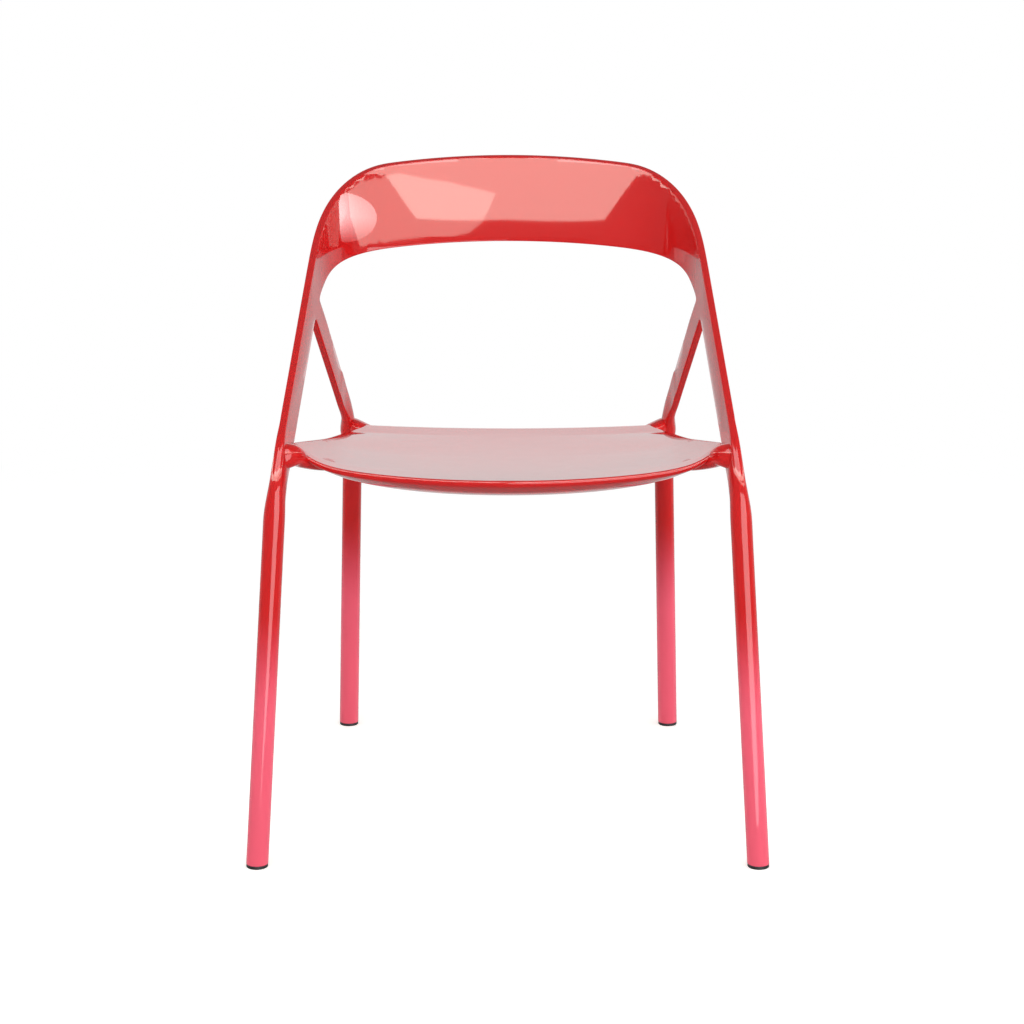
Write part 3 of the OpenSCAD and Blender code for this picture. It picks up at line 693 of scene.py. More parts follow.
@dataclass
class Blade:
    """One arm or rear strut: a flat blade that turns into a round tube over its leg.

    Attributes:
        wall: The wall in whose side plane the blade lies.
        leg: The leg under it.
        foot: Where its axis starts in the side plane, as y and z.
        pitch: Its direction in the side plane, in degrees from the front.
        width: Its width seen from the side.
        start: Distance along the axis at which it is fully flat.
        thin: Share of the bend over which it gets its thickness.
        hug: How soon its outer face goes over from the line of the leg to the plane of the side.
        bulge: How far the bend swells outwards, and at which share of it.
        socket: Length of the round end between the leg and the bend.
        neck_d: Diameter of the bend just above the leg.
        neck_rate: How soon the bend has that diameter.
        width_rate: How soon the bend has the width of the blade.
        square_rate: How soon its section is square.
        square_power: How late it starts to get square.
        swell_power: How late the swelling ends.
        tuck: How much smaller in radius its closed end is than the leg.
        ahead: Distance along the axis that gives the direction of the blade.
        pull: Share of the distance from leg to blade over which each end shapes the bend.
        steps: Sections in the bend.
    """

    wall: WallShape
    leg: Tube
    foot: tuple
    pitch: float
    width: float
    start: float
    thin: float
    hug: float
    bulge: tuple
    socket: float = 24.0
    neck_d: float = 22.2
    neck_rate: float = 4.0
    width_rate: float = 1.25
    square_rate: float = 1.15
    square_power: float = 2.2
    swell_power: int = 4
    tuck: float = 2.0
    ahead: float = 40.0
    pull: float = 0.42
    steps: int = 26

    @property
    def direction(self) -> tuple:
        """Unit direction in the side plane, as y and z."""
        return math.cos(math.radians(self.pitch)), math.sin(math.radians(self.pitch))

    def at(self, t: float, edge: Edge | None = None) -> tuple:
        """Return a point of the axis or of an edge.

        Args:
            t: Distance along the axis.
            edge: The edge, or None for the axis.

        Returns:
            y and z.
        """
        dy, dz = self.direction
        shift = 0 if edge is None else edge.value * self.width / 2
        up_y, up_z = (-dz, dy) if dy > 0 else (dz, -dy)
        return self.foot[0] + dy * t + up_y * shift, self.foot[1] + dz * t + up_z * shift

    def rings(self) -> list:
        """Return one placing function for each step from the blade down to the leg.

        Returns:
            Functions from a section point, as shares of the half width and the half
            thickness, to a place in space.
        """
        up_leg = self.leg.direction
        top = self.leg.top + up_leg * self.socket
        end = self.wall.side(*self.at(self.start))
        far = self.wall.side(*self.at(self.start + self.ahead))
        across = (self.wall.side(*self.at(self.start, Edge.UPPER)) - end).normalized()
        blade_dir = (far - end).normalized()
        reach = (end - top).length * self.pull
        curve = [top, top + up_leg * reach, end - blade_dir * reach, end]
        out = [self.ring(curve, up_leg, across, i / self.steps) for i in reversed(range(self.steps))]
        leg_across = (across - up_leg * across.dot(up_leg)).normalized()
        for shrink in (0, self.tuck):
            radius = self.leg.top_d / 2 - shrink
            out.append(self.round_ring(self.leg.top, leg_across, up_leg, radius))
        return out

    def ring(self, curve: list, up_leg: Vector, across: Vector, t: float) -> Callable:
        """Return the placing function of one ring of the bend.

        Args:
            curve: Control points of the bend, from the leg to the blade.
            up_leg: Direction of the leg.
            across: Direction across the blade.
            t: Share of the bend at which the ring lies.

        Returns:
            The function.
        """
        place, along = bezier(curve, t), bezier_dir(curve, t)
        u = (across - along * across.dot(along)).normalized()
        v = self.outward(along.cross(u))
        neck = lerp(self.leg.top_d, self.neck_d, smooth(t * self.neck_rate)) / 2
        half = lerp(neck, self.wall.frame_t / 2, smooth(t / self.thin))
        leg_x = curve[0].x + (place.z - curve[0].z) * up_leg.x / up_leg.z + self.leg.top_d / 2
        plane_x = self.wall.side(place.y, place.z, self.wall.frame_t / 2).x
        k = t / self.bulge[1]
        swell = self.bulge[0] * k * k * math.exp(2 - 2 * k) * (1 - t**self.swell_power)
        centre = Vector((lerp(leg_x, plane_x, smooth(t * self.hug)) - half + swell, place.y, place.z))
        wide = lerp(neck, self.width / 2, smooth(t * self.width_rate))
        share = smooth(t * self.square_rate) ** self.square_power

        def point(a: float, b: float) -> Vector:
            """Place a section point.

            Args:
                a: Its share of the half width.
                b: Its share of the half thickness.

            Returns:
                Its place.
            """
            turn = math.atan2(b, a)
            x, y = lerp(math.cos(turn), a, share), lerp(math.sin(turn), b, share)
            return centre + u * (x * wide) + v * (y * half)

        return point

    @staticmethod
    def outward(way: Vector) -> Vector:
        """Return a direction turned so that it points away from the middle of the chair."""
        return way if way.x > 0 else -way

    @staticmethod
    def round_ring(centre: Vector, u: Vector, along: Vector, radius: float) -> Callable:
        """Return the placing function of a circular ring.

        Args:
            centre: Its centre.
            u: Direction across the blade.
            along: Direction of the leg.
            radius: Its radius.

        Returns:
            The function.
        """
        v = Blade.outward(along.cross(u))

        def point(a: float, b: float) -> Vector:
            """Return the place of a section point on the circle."""
            turn = math.atan2(b, a)
            return centre + u * (math.cos(turn) * radius) + v * (math.sin(turn) * radius)

        return point


@dataclass
class CutEnd:
    """The straight cut across an arm or a strut of the flat pattern.

    Attributes:
        upper: Its upper end.
        lower: Its lower end.
    """

    upper: Vector
    lower: Vector

    @property
    def way(self) -> Vector:
        """Its unit direction, from the upper to the lower end."""
        return (self.lower - self.upper).normalized()

    @property
    def length(self) -> float:
        """Its length."""
        return (self.lower - self.upper).length

    def gap(self, vert: bmesh.types.BMVert) -> Vector:
        """Return the way from the upper end to a vertex of the pattern."""
        return Vector((vert.co.x, vert.co.y)) - self.upper

    def holds(self, item: bmesh.types.BMEdge | bmesh.types.BMFace) -> bool:
        """Tell whether an edge or a face of the pattern lies in the cut.

        Args:
            item: The edge or face.

        Returns:
            True where it does.
        """
        way, reach = self.way, self.length + ON_CUT
        gaps = [self.gap(vert) for vert in item.verts]
        return all(abs(gap.x * way.y - gap.y * way.x) < ON_CUT and gap.length < reach for gap in gaps)


@dataclass
class ShellFrame:
    """Backrest, side frames, arms and rear struts as one seamless shell.

    Half of the shell is drawn as a flat pattern in s and z, given its thickness, rounded at
    its edges, cut into strips and bent onto the wall. Its ends are then drawn out along the
    bends to the legs, and the half is mirrored.

    Attributes:
        wall: The wall that it is cut of.
        arm_w: Width of the arms.
        strut_w: Width of the rear struts.
        strut_foot: Where the axis of the strut starts in the side plane, as y and z.
        edge_r: Radius of the rounded edges.
        edge_segments: Faces across a rounded edge.
        crotch_r: Radius of the corner between arm and strut.
        crotch_points: Steps round that corner.
        strip: Width of the strips of the curved wall.
        row: Height of its rows.
        rows_above: How far the rows go on above the flat side.
        end_cuts: Cuts along the long edges of the open end of an arm or a strut.
        thickness_cuts: Even cuts through the thickness of the arms and struts, of which the first
            and the last are left out, as they lie in the rounded edges.
        throat_s: Where the lower edge of the backrest goes over into the throat.
        throat_slope: Its slope there.
        throat_pull: How far each end shapes the throat.
        throat_back: Distance along the strut from the throat's end to where the axes meet.
        throat_points: Steps round the throat.
        rim_back: Distance along the arm from its straight top edge to where the axes meet.
        edge_points: Steps along the top and the lower edge of the backrest.
        long_end: Length above which an edge of an open end is long.
    """

    wall: WallShape = field(default_factory=WallShape)
    arm_w: float = 41.0
    strut_w: float = 35.5
    strut_foot: tuple = (413.0, 453.0)
    edge_r: float = 1.5
    edge_segments: int = 4
    crotch_r: float = 8.0
    crotch_points: int = 8
    strip: float = 4.0
    row: int = 8
    rows_above: int = 168
    end_cuts: int = 9
    thickness_cuts: int = 8
    throat_s: float = 290.0
    throat_slope: float = -0.4
    throat_pull: tuple = (40.5, 10.0)
    throat_back: float = 36.0
    throat_points: int = 16
    rim_back: float = 46.0
    edge_points: int = 60
    long_end: float = 20.0

    @property
    def arm(self) -> Blade:
        """The arm, over the front leg."""
        pitch = math.radians(self.wall.arm_pitch)
        base_y = math.sin(pitch) * self.arm_w / 2
        base_z = self.wall.arm_z - math.cos(pitch) * self.arm_w / 2
        return Blade(
            self.wall, LEGS.front, (0.0, base_z - base_y * math.tan(pitch)), self.wall.arm_pitch, self.arm_w,
            start=75, thin=0.95, hug=1, bulge=(-1.3, 0.45),
        )

    @property
    def strut(self) -> Blade:
        """The rear strut, over the rear leg."""
        return Blade(
            self.wall, LEGS.rear, self.strut_foot, 135, self.strut_w,
            start=62, thin=0.78, hug=6, bulge=(7, 0.17),
        )

    def meeting(self) -> tuple:
        """Return the distances along the arm and the strut at which their axes meet."""
        (ay, az), (sy, sz) = self.arm.foot, self.strut.foot
        (ady, adz), (sdy, sdz) = self.arm.direction, self.strut.direction
        cross = ady * sdz - adz * sdy
        on_arm = ((sy - ay) * sdz - (sz - az) * sdy) / cross
        on_strut = ((sy - ay) * adz - (sz - az) * ady) / cross
        return on_arm, on_strut

    def crotch(self) -> list:
        """Return the rounded corner between the arm and the front edge of the strut."""
        a, b = self.arm.at(0, Edge.LOWER), self.strut.at(0, Edge.LOWER)
        (ady, adz), (sdy, sdz) = self.arm.direction, self.strut.direction
        t = ((b[0] - a[0]) * sdz - (b[1] - a[1]) * sdy) / (ady * sdz - adz * sdy)
        corner = Vector((a[0] + ady * t, a[1] + adz * t))
        start = corner - Vector((sdy, sdz)) * self.crotch_r
        end = corner - Vector((ady, adz)) * self.crotch_r
        shares = [i / self.crotch_points for i in range(self.crotch_points + 1)]
        return [(1 - k) ** 2 * start + 2 * k * (1 - k) * corner + k * k * end for k in shares]

    def to_pattern(self, point: Sequence[float]) -> Vector:
        """Return the place on the flat pattern of a point of the side plane."""
        return Vector((self.wall.side_s(point[0], point[1]), point[1]))

    def throat(self) -> list:
        """Return the corner of the opening between the backrest and the strut."""
        strut = self.strut
        end = self.meeting()[1] - self.throat_back
        a = Vector((self.throat_s, self.wall.low_z(self.throat_s)))
        b = self.to_pattern(strut.at(end, Edge.UPPER))
        pull_a = Vector((1, self.throat_slope)).normalized() * self.throat_pull[0]
        pull_b = (self.to_pattern(strut.at(end + 1, Edge.UPPER)) - b).normalized() * self.throat_pull[1]
        points = [a, a + pull_a, b + pull_b, b]
        return [bezier(points, i / self.throat_points) for i in range(self.throat_points + 1)]

    def outline(self) -> list:
        """Return the outline of half the shell as points of the flat pattern."""
        rim_end = self.to_pattern(self.arm.at(self.meeting()[0] - self.rim_back, Edge.UPPER))
        count = self.edge_points
        rim = [rim_end.x * (1 - i / count) for i in range(count + 1)]
        low = [self.throat_s * i / count for i in range(count)]
        arm_end, strut_end = self.cut_ends()
        return [
            arm_end.upper,
            *(Vector((s, self.wall.rim_z(s))) for s in rim),
            *(Vector((s, self.wall.low_z(s))) for s in low),
            *self.throat(),
            strut_end.upper,
            strut_end.lower,
            *(self.to_pattern(p) for p in self.crotch()),
            arm_end.lower,
        ]

    def cut_ends(self) -> list:
        """Return the cuts across the arm and across the strut."""
        return [
            CutEnd(*(self.to_pattern(blade.at(blade.start, edge)) for edge in (Edge.UPPER, Edge.LOWER)))
            for blade in (self.arm, self.strut)
        ]

    def plate(self) -> bmesh.types.BMesh:
        """Return the flat pattern as a plate with rounded edges and open ends."""
        bm = bmesh.new()
        outline, corner = self.outline(), self.crotch()
        verts = [bm.verts.new((p.x, p.y, 0)) for p in outline]
        crotch = len(outline) - 2 - len(corner) // 2
        throat = max(range(len(outline) // 2, crotch - len(corner)), key=lambda i: outline[i].x)
        strut, rest = verts[throat : crotch + 1], verts[: throat + 1] + verts[crotch:]
        thicken(bm, [bm.faces.new(strut), bm.faces.new(rest)], self.wall.frame_t)
        ends = self.cut_ends()
        middle = [f for f in bm.faces if all(abs(v.co.x) < ON_CUT for v in f.verts)]
        caps = [f for f in bm.faces if any(end.holds(f) for end in ends)]
        bmesh.ops.delete(bm, geom=middle + caps, context="FACES_ONLY")
        rims = [e for e in corners(bm) if abs(e.verts[0].co.z - e.verts[1].co.z) < ON_CUT]
        round_edges(bm, rims, self.edge_r, self.edge_segments)
        open_edges = [e for e in bm.edges if e.is_boundary and e.calc_length() > self.long_end]
        long_ends = [e for e in open_edges if any(end.holds(e) for end in ends)]
        bmesh.ops.subdivide_edges(bm, edges=long_ends, cuts=self.end_cuts)
        for i in range(1, int(self.wall.corner_end / self.strip) + 2):
            slice_plane(bm, (i * self.strip, 0, 0), (1, 0, 0))
        low, high = (int(z) for z in self.wall.curve_z)
        for z in range(low - self.row, high + self.rows_above, self.row):
            slice_plane(bm, (0, z, 0), (0, 1, 0))
        self.cut_layers(bm, low - self.row)
        return bm

    def cut_layers(self, bm: bmesh.types.BMesh, below: float) -> None:
        """Give the rims of the flat arms and struts points through their thickness.

        Args:
            bm: The plate.
            below: Height below which its faces get them.
        """
        layers = self.thickness_cuts + 1
        for i in range(2, layers - 1):
            flat = [f for f in bm.faces if f.calc_center_median().y < below]
            around = list({v for f in flat for v in f.verts}) + list({e for f in flat for e in f.edges})
            slice_plane(bm, (0, 0, -self.wall.frame_t * i / layers), (0, 0, 1), around + flat)

    def build(self, material: bpy.types.Material) -> None:
        """Make the shell.

        Args:
            material: Its lacquer.
        """
        bm = self.plate()
        key = bm.verts.layers.int.new("key")
        facing = bm.verts.layers.float_vector.new("facing")
        section: dict = {}
        loops = []
        for blade, end in zip((self.arm, self.strut), self.cut_ends()):
            loop = [e for e in bm.edges if e.is_boundary and end.holds(e)]
            loops.append((blade, loop))
            for vert in {v for e in loop for v in e.verts}:
                share = end.gap(vert).dot(end.way) / end.length
                vert[key] = len(section) + 1
                section[vert[key]] = (1 - 2 * share, 2 * vert.co.z / self.wall.frame_t + 1)
        for vert in bm.verts:
            if min(abs(vert.co.z), abs(vert.co.z + self.wall.frame_t)) < ON_CUT:
                vert[facing] = self.wall.plate_normal(*vert.co)
            vert.co = self.wall.plate_point(*vert.co)
        for blade, loop in loops:
            steps = [(lambda k, ring=ring: ring(*section[k])) for ring in blade.rings()]
            bmesh.ops.edgeloop_fill(bm, edges=sweep(bm, loop, steps))
        mirror_x(bm, keep=True)
        nodes = ["backrest_front_skin", "backrest_rear_skin"]
        for side in Side:
            nodes += [f"{name}_{side.word}" for name in ("side_frame", "arm", "rear_strut")]
        finish_piece(bm, "backrest_and_side_frames", material, nodes)


@dataclass
class SeatPan:
    """The thin dished seat with its rolled rim and turned-up front corners.

    u is the share of the half width, below zero on the left.

    Attributes:
        wall: The wall that its sides follow.
        front_z: Height of the middle of its front edge.
        rear_z: Height of the middle of its rear edge.
        sag: Depth of the dish along the middle.
        front_y: Place of the middle of its front edge.
        rear_y: Place of the middle of its rear edge.
        rear_bow: How much further to the front the rear edge is at its ends.
        front_r: Radius of the front edge in plan.
        front_w_y: Place at which the width of the front edge is taken.
        ear_z: Height of the front corners.
        ear_y: Place at which the side edge starts to fall.
        fall_l: Length over which it falls.
        heel_z: Height of the side edge behind that.
        ear_share: Share of the rise towards the sides that the front has all over its width.
        ear_power: How late the rest of it comes.
        even_y: Where the front's section goes over into the rear's, and over which length.
        lift: How much higher the sides are at the rear.
        lift_y: Where that starts, and over which length.
        side_gap: Gap between the seat and the side frames.
        notch: Depth of the notches at the rear corners.
        notch_len: Length over which they begin.
        notch_end: Distance from where they have their depth to the rear edge.
        rim_t: Thickness of the rim.
        middle_t: Thickness of the middle.
        middle_power: How flat the middle is across the seat.
        roll_w: Width over which the front and the rear rim get their thickness.
        edge_r: Radius of the rounded edges.
        edge_segments: Faces across a rounded edge.
        plan_w: Width of the flat pattern.
        plan_l: Length of the flat pattern.
        cuts: Faces across and along the flat pattern.
    """

    wall: WallShape
    front_z: float = 452.0
    rear_z: float = 430.5
    sag: float = 7.0
    front_y: float = -10.0
    rear_y: float = 405.0
    rear_bow: float = 2.0
    front_r: float = 530.0
    front_w_y: float = 45.0
    ear_z: float = 484.0
    ear_y: float = 55.0
    fall_l: float = 300.0
    heel_z: float = 431.0
    ear_share: float = 0.45
    ear_power: float = 12.0
    even_y: tuple = (200.0, 200.0)
    lift: float = 5.0
    lift_y: tuple = (202.5, 202.5)
    side_gap: float = 4.0
    notch: float = 15.0
    notch_len: float = 55.0
    notch_end: float = 5.0
    rim_t: float = 6.4
    middle_t: float = 20.0
    middle_power: float = 3.5
    roll_w: float = 36.0
    edge_r: float = 2.8
    edge_segments: int = 4
    plan_w: float = 440.0
    plan_l: float = 410.0
    cuts: tuple = (88, 82)

    def edge_z(self, y: float) -> float:
        """Return the height of the side edge at y."""
        return lerp(self.ear_z, self.heel_z, min(1.0, max(0.0, (y - self.ear_y) / self.fall_l)))

    def full_width(self, y: float) -> float:
        """Return half of the width that the seat would have at y without its notches."""
        return self.wall.side(y, self.edge_z(y), -self.wall.frame_t / 2).x - self.side_gap

    def half_width(self, y: float) -> float:
        """Return half of the width of the seat at y."""
        start = self.rear_y - self.notch_len - self.notch_end
        return self.full_width(y) - self.notch * smooth((y - start) / self.notch_len)

    def front(self, u: float) -> float:
        """Return y of the front edge at u."""
        w = u * self.half_width(self.front_w_y)
        return self.front_y + self.front_r - math.sqrt(self.front_r**2 - w * w)

    def rear(self, u: float) -> float:
        """Return y of the rear edge at u."""
        return self.rear_y - self.rear_bow * u * u

    def height(self, u: float, y: float) -> float:
        """Return the height of the top.

        Args:
            u: Share of the half width.
            y: Depth.

        Returns:
            The height.
        """
        f = (y - self.front_y) / (self.rear_y - self.front_y)
        middle = lerp(self.front_z, self.rear_z, f) - self.sag * 4 * f * (1 - f)
        even = lerp(self.ear_share, 1, smooth((y - self.even_y[0]) / self.even_y[1]))
        rise = even * u * u + (1 - even) * abs(u) ** self.ear_power
        lift = self.lift * smooth((y - self.lift_y[0]) / self.lift_y[1])
        return lerp(middle, self.edge_z(y), rise) + lift * u * u

    def depth(self, u: float, y: float) -> float:
        """Return the thickness.

        Args:
            u: Share of the half width.
            y: Depth.

        Returns:
            The thickness.
        """
        gaps = (y - self.front(u), self.rear(u) - y)
        rolls = (math.sin(math.pi / 2 * min(1.0, max(0.0, gap / self.roll_w))) for gap in gaps)
        swell = (1 - min(1, abs(u)) ** self.middle_power) * math.prod(rolls)
        return self.rim_t + (self.middle_t - self.rim_t) * swell

    def place(self, point: Vector) -> Vector:
        """Map a point of the flat pattern of the seat into place.

        Args:
            point: The point, in a plate of the thickness of the rim.

        Returns:
            Its place.
        """
        u = point.x / (self.plan_w / 2)
        y = lerp(self.front(u), self.rear(u), 0.5 + point.y / self.plan_l)
        x = u * self.half_width(y)
        depth = -point.z / self.rim_t * self.depth(u, y)
        return Vector((x, y, self.height(x / self.full_width(y), y) - depth))

    def build(self, material: bpy.types.Material) -> None:
        """Make the seat from a flat plate that is bent into place.

        Args:
            material: Its lacquer.
        """
        bm = bmesh.new()
        plan = Matrix.Diagonal((self.plan_w, self.plan_l, 1, 1))
        bmesh.ops.create_grid(bm, x_segments=self.cuts[0], y_segments=self.cuts[1], size=0.5, matrix=plan)
        thicken(bm, bm.faces[:], self.rim_t)
        round_edges(bm, corners(bm), self.edge_r, self.edge_segments)
        for vert in bm.verts:
            vert.co = self.place(vert.co)
        finish_piece(bm, "seat_pan", material, ["seat_upper_skin", "seat_lower_skin"])


@dataclass
class Neck:
    """One of the four necks that carry the corners of the seat.

    Attributes:
        name: Name of the piece, without its side.
        node: The solid that it stands for, without its side.
        stations: Centre, half depth and half height of each section, from the frame inwards.
        around: Points round a section.
        fine: Sections from one station to the next.
        flush: Number of stations over which the sections turn out of the plane of the side.
        side_normal: Normal of the side frame at the neck, inwards.
        squareness: Power that makes the sections a little square.
        ahead: Share of the neck over which its direction is taken.
    """

    name: str
    node: str
    stations: tuple
    around: int = 32
    fine: int = 5
    flush: float = 3.0
    side_normal: tuple = (-0.99, -0.11, 0.06)
    squareness: float = 0.83
    ahead: float = 0.02

    def section(self, t: float) -> tuple:
        """Return the section at a share of the neck, smoothly through the stations.

        Args:
            t: The share.

        Returns:
            Centre, half depth and half height.
        """
        n = len(self.stations) - 1
        i = min(n - 1, int(t * n))
        rows = [self.stations[min(n, max(0, j))] for j in (i - 1, i, i + 1, i + 2)]
        flat = [(*Vector(centre), deep, high) for centre, deep, high in rows]
        out = [through(values, t * n - i) for values in zip(*flat)]
        return Vector(out[:3]), out[3], out[4]

    def ring(self, t: float) -> Callable:
        """Return the placing function of one section.

        Args:
            t: Share of the neck at which it lies.

        Returns:
            The function, from the number of a vertex to its place.
        """
        centre, deep, high = self.section(t)
        ahead = self.section(min(1, t + self.ahead))[0] - self.section(max(0, t - self.ahead))[0]
        turned = smooth(t * (len(self.stations) - 1) / self.flush)
        along = Vector(self.side_normal).lerp(ahead.normalized(), turned).normalized()
        v = Vector((-along.y, along.x, 0)).normalized()
        u = along.cross(v)
        if u.z < 0:
            u, v = -u, -v

        def point(i: int) -> Vector:
            """Place a vertex of this section.

            Args:
                i: Its number.

            Returns:
                Its place.
            """
            turn = 2 * math.pi * i / self.around
            x, y = (math.copysign(abs(w) ** self.squareness, w) for w in (math.cos(turn), math.sin(turn)))
            return centre + u * (x * high) + v * (y * deep)

        return point

    def build(self, side: Side, material: bpy.types.Material) -> None:
        """Make the neck on one side.

        Args:
            side: The side.
            material: Its lacquer.
        """
        bm = bmesh.new()
        key = bm.verts.layers.int.new("key")
        count = (len(self.stations) - 1) * self.fine
        rings = [self.ring(i / count) for i in range(count + 1)]
        for i, vert in enumerate(bmesh.ops.create_circle(bm, segments=self.around, radius=1)["verts"]):
            vert[key] = i
            vert.co = rings[0](i)
        last = sweep(bm, bm.edges[:], rings[1:])
        bmesh.ops.edgeloop_fill(bm, edges=last)
        bmesh.ops.edgeloop_fill(bm, edges=[e for e in bm.edges if e.is_boundary])
        finish_sided(bm, side, self.name, self.node, material)


@dataclass
class LegTube:
    """One tapered leg between the shell and its glide.

    Attributes:
        name: Name of the piece and of its solid, without its side.
        tube: Its axis and diameters.
        around: Faces round it.
        over: How far it is drawn past its foot before it is cut level.
        band: Height of the bands of its mesh.
        edge_r: Radius of its lower edge.
        edge_segments: Faces across that edge.
        edge_zone: Height below which the lower edge lies.
    """

    name: str
    tube: Tube
    around: int = 64
    over: float = 12.0
    band: int = 20
    edge_r: float = 0.5
    edge_segments: int = 2
    edge_zone: float = 10.0

    def build(self, side: Side, material: bpy.types.Material) -> None:
        """Make the leg on one side, cut level above its glide.

        Args:
            side: The side.
            material: Its lacquer.
        """
        bm = bmesh.new()
        tube, up = self.tube, self.tube.direction
        span = (tube.top - tube.foot).length
        length = span + self.over
        widen = (tube.foot_d - tube.top_d) / 2 * self.over / span
        turn = Vector((0, 0, 1)).rotation_difference(up).to_matrix().to_4x4()
        bmesh.ops.create_cone(
            bm, cap_ends=True, cap_tris=False, segments=self.around, radius1=tube.foot_d / 2 + widen,
            radius2=tube.top_d / 2, depth=length,
            matrix=Matrix.Translation(tube.top - up * length / 2) @ turn,
        )
        for z in range(self.band, int(LEGS.joint_z), self.band):
            slice_plane(bm, (0, 0, z), (0, 0, 1))
        foot = slice_plane(bm, (0, 0, LEGS.glide_h), (0, 0, -1), drop=True)
        bmesh.ops.edgeloop_fill(bm, edges=foot)
        rim = [e for e in corners(bm) if e.verts[0].co.z < self.edge_zone]
        round_edges(bm, rim, self.edge_r, self.edge_segments)
        finish_sided(bm, side, self.name, self.name, material)


@dataclass
class Glide:
    """One moulded glide: a low disc under the leg with softened edges.

    Attributes:
        name: Name of the piece and of its solid, without its side.
        tube: Axis of the leg above it.
        around: Faces round it.
        edge_r: Radius of its edges.
        edge_segments: Faces across an edge.
        slack: How much smaller in radius it is drawn than its solid.
    """

    name: str
    tube: Tube
    around: int = 64
    edge_r: float = 0.8
    edge_segments: int = 3
    slack: float = 0.05

    def build(self, side: Side, material: bpy.types.Material) -> None:
        """Make the visible disc of the glide on one side.

        Args:
            side: The side.
            material: Its plastic.
        """
        bm = bmesh.new()
        up, middle_z = self.tube.direction, LEGS.glide_h / 2
        at = self.tube.foot + up * (middle_z / up.z)
        radius = LEGS.glide_d / 2 - self.slack
        bmesh.ops.create_cone(
            bm, cap_ends=True, cap_tris=False, segments=self.around, radius1=radius, radius2=radius,
            depth=LEGS.glide_h, matrix=Matrix.Translation((at.x, at.y, middle_z)),
        )
        round_edges(bm, corners(bm), self.edge_r, self.edge_segments)
        finish_sided(bm, side, self.name, self.name, material)


class Value:
    """A socket that carries a number, with the usual arithmetic as Math nodes."""

    def __init__(self, net: "ShaderNet", socket: bpy.types.NodeSocket) -> None:
        """Wrap a socket of a net."""
        self.net = net
        self.socket = socket

    def _math(self, operation: str, *values: object) -> "Value":
        """Add a Math node and return its result."""
        node = self.net.node("ShaderNodeMath", {"operation": operation}, dict(enumerate(values)))
        return Value(self.net, node.outputs[0])

    def __add__(self, other: object) -> "Value":
        """Return self + other."""
        return self._math("ADD", self, other)

    __radd__ = __add__

    def __sub__(self, other: object) -> "Value":
        """Return self - other."""
        return self._math("SUBTRACT", self, other)

    def __rsub__(self, other: object) -> "Value":
        """Return other - self."""
        return self._math("SUBTRACT", other, self)

    def __mul__(self, other: object) -> "Value":
        """Return self * other."""
        return self._math("MULTIPLY", self, other)

    __rmul__ = __mul__

    def clamp(self) -> "Value":
        """Return self limited to 0..1."""
        return self._math("MINIMUM", self._math("MAXIMUM", self, 0.0), 1.0)


class ShaderNet:
    """The node tree of one material or of the world."""

    def __init__(self, tree: bpy.types.NodeTree) -> None:
        """Empty a tree and take it over."""
        self.tree = tree
        tree.nodes.clear()

    def node(self, kind: str, settings: dict | None = None, sockets: dict | None = None) -> bpy.types.Node:
        """Add a node.

        Args:
            kind: Type of the node.
            settings: Its settings, set first; "stops" gives a ramp's stops.
            sockets: Values or links of its inputs, by name or number.

        Returns:
            The node.
        """
        node = self.tree.nodes.new(kind)
        for name, value in (settings or {}).items():
            if name == "stops":
                for element, (place, colour) in zip(node.color_ramp.elements, value):
                    element.position = place
                    element.color = (*colour, 1)
            else:
                setattr(node, name, value)
        for name, value in (sockets or {}).items():
            target = node.inputs[name]
            if isinstance(value, Value):
                value = value.socket
            if isinstance(value, bpy.types.NodeSocket):
                self.tree.links.new(value, target)
            else:
                target.default_value = value
        return node

    def shade(self, kind: str, sockets: dict | None = None) -> bpy.types.NodeSocket:
        """Add a shader and return its output."""
        return self.node(kind, {}, sockets).outputs[0]

    def place(self) -> bpy.types.NodeSocket:
        """Return the place on the piece, in its own coordinates."""
        return self.node("ShaderNodeTexCoord").outputs["Object"]

    def seen(self) -> bpy.types.NodeSocket:
        """Return 1 where the camera looks and 0 where light does."""
        return self.node("ShaderNodeLightPath").outputs["Is Camera Ray"]

    def noise(self, place: bpy.types.NodeSocket, scale: float, detail: float) -> bpy.types.NodeSocket:
        """Return noise of a scale and a detail."""
        sockets = {"Vector": place, "Scale": scale, "Detail": detail}
        return self.node("ShaderNodeTexNoise", {}, sockets).outputs["Fac"]

    def mix(self, share: object, first: object, second: object) -> bpy.types.NodeSocket:
        """Return a mix of two colours."""
        return self.node("ShaderNodeMix", {"data_type": "RGBA"}, {0: share, 6: first, 7: second}).outputs[2]

    def ease(self, value: object, start: float, end: float) -> bpy.types.NodeSocket:
        """Return 0 to 1, eased at both ends, while a value goes from start to end."""
        sockets = {"Value": value, "From Min": start, "From Max": end, "To Min": 0.0, "To Max": 1.0}
        return self.node("ShaderNodeMapRange", {"interpolation_type": "SMOOTHSTEP"}, sockets).outputs[0]

    def bump(self, height: object, strength: float, distance: float) -> bpy.types.NodeSocket:
        """Return the normal of a relief."""
        return self.shade("ShaderNodeBump", {"Strength": strength, "Distance": distance, "Height": height})

    def finish(self, shader: bpy.types.NodeSocket, kind: str = "ShaderNodeOutputMaterial") -> None:
        """End the net in a shader."""
        self.node(kind, {}, {"Surface": shader})

    def finish_glow(self, colour: object, radiance: float) -> None:
        """End the net in a light that lets all behind it show through.

        Args:
            colour: Colour of the light, as a value or a link.
            radiance: Its brightness.
        """
        light = self.shade("ShaderNodeEmission", {"Color": colour, "Strength": radiance})
        clear = self.shade("ShaderNodeBsdfTransparent")
        self.finish(self.shade("ShaderNodeAddShader", {0: light, 1: clear}))


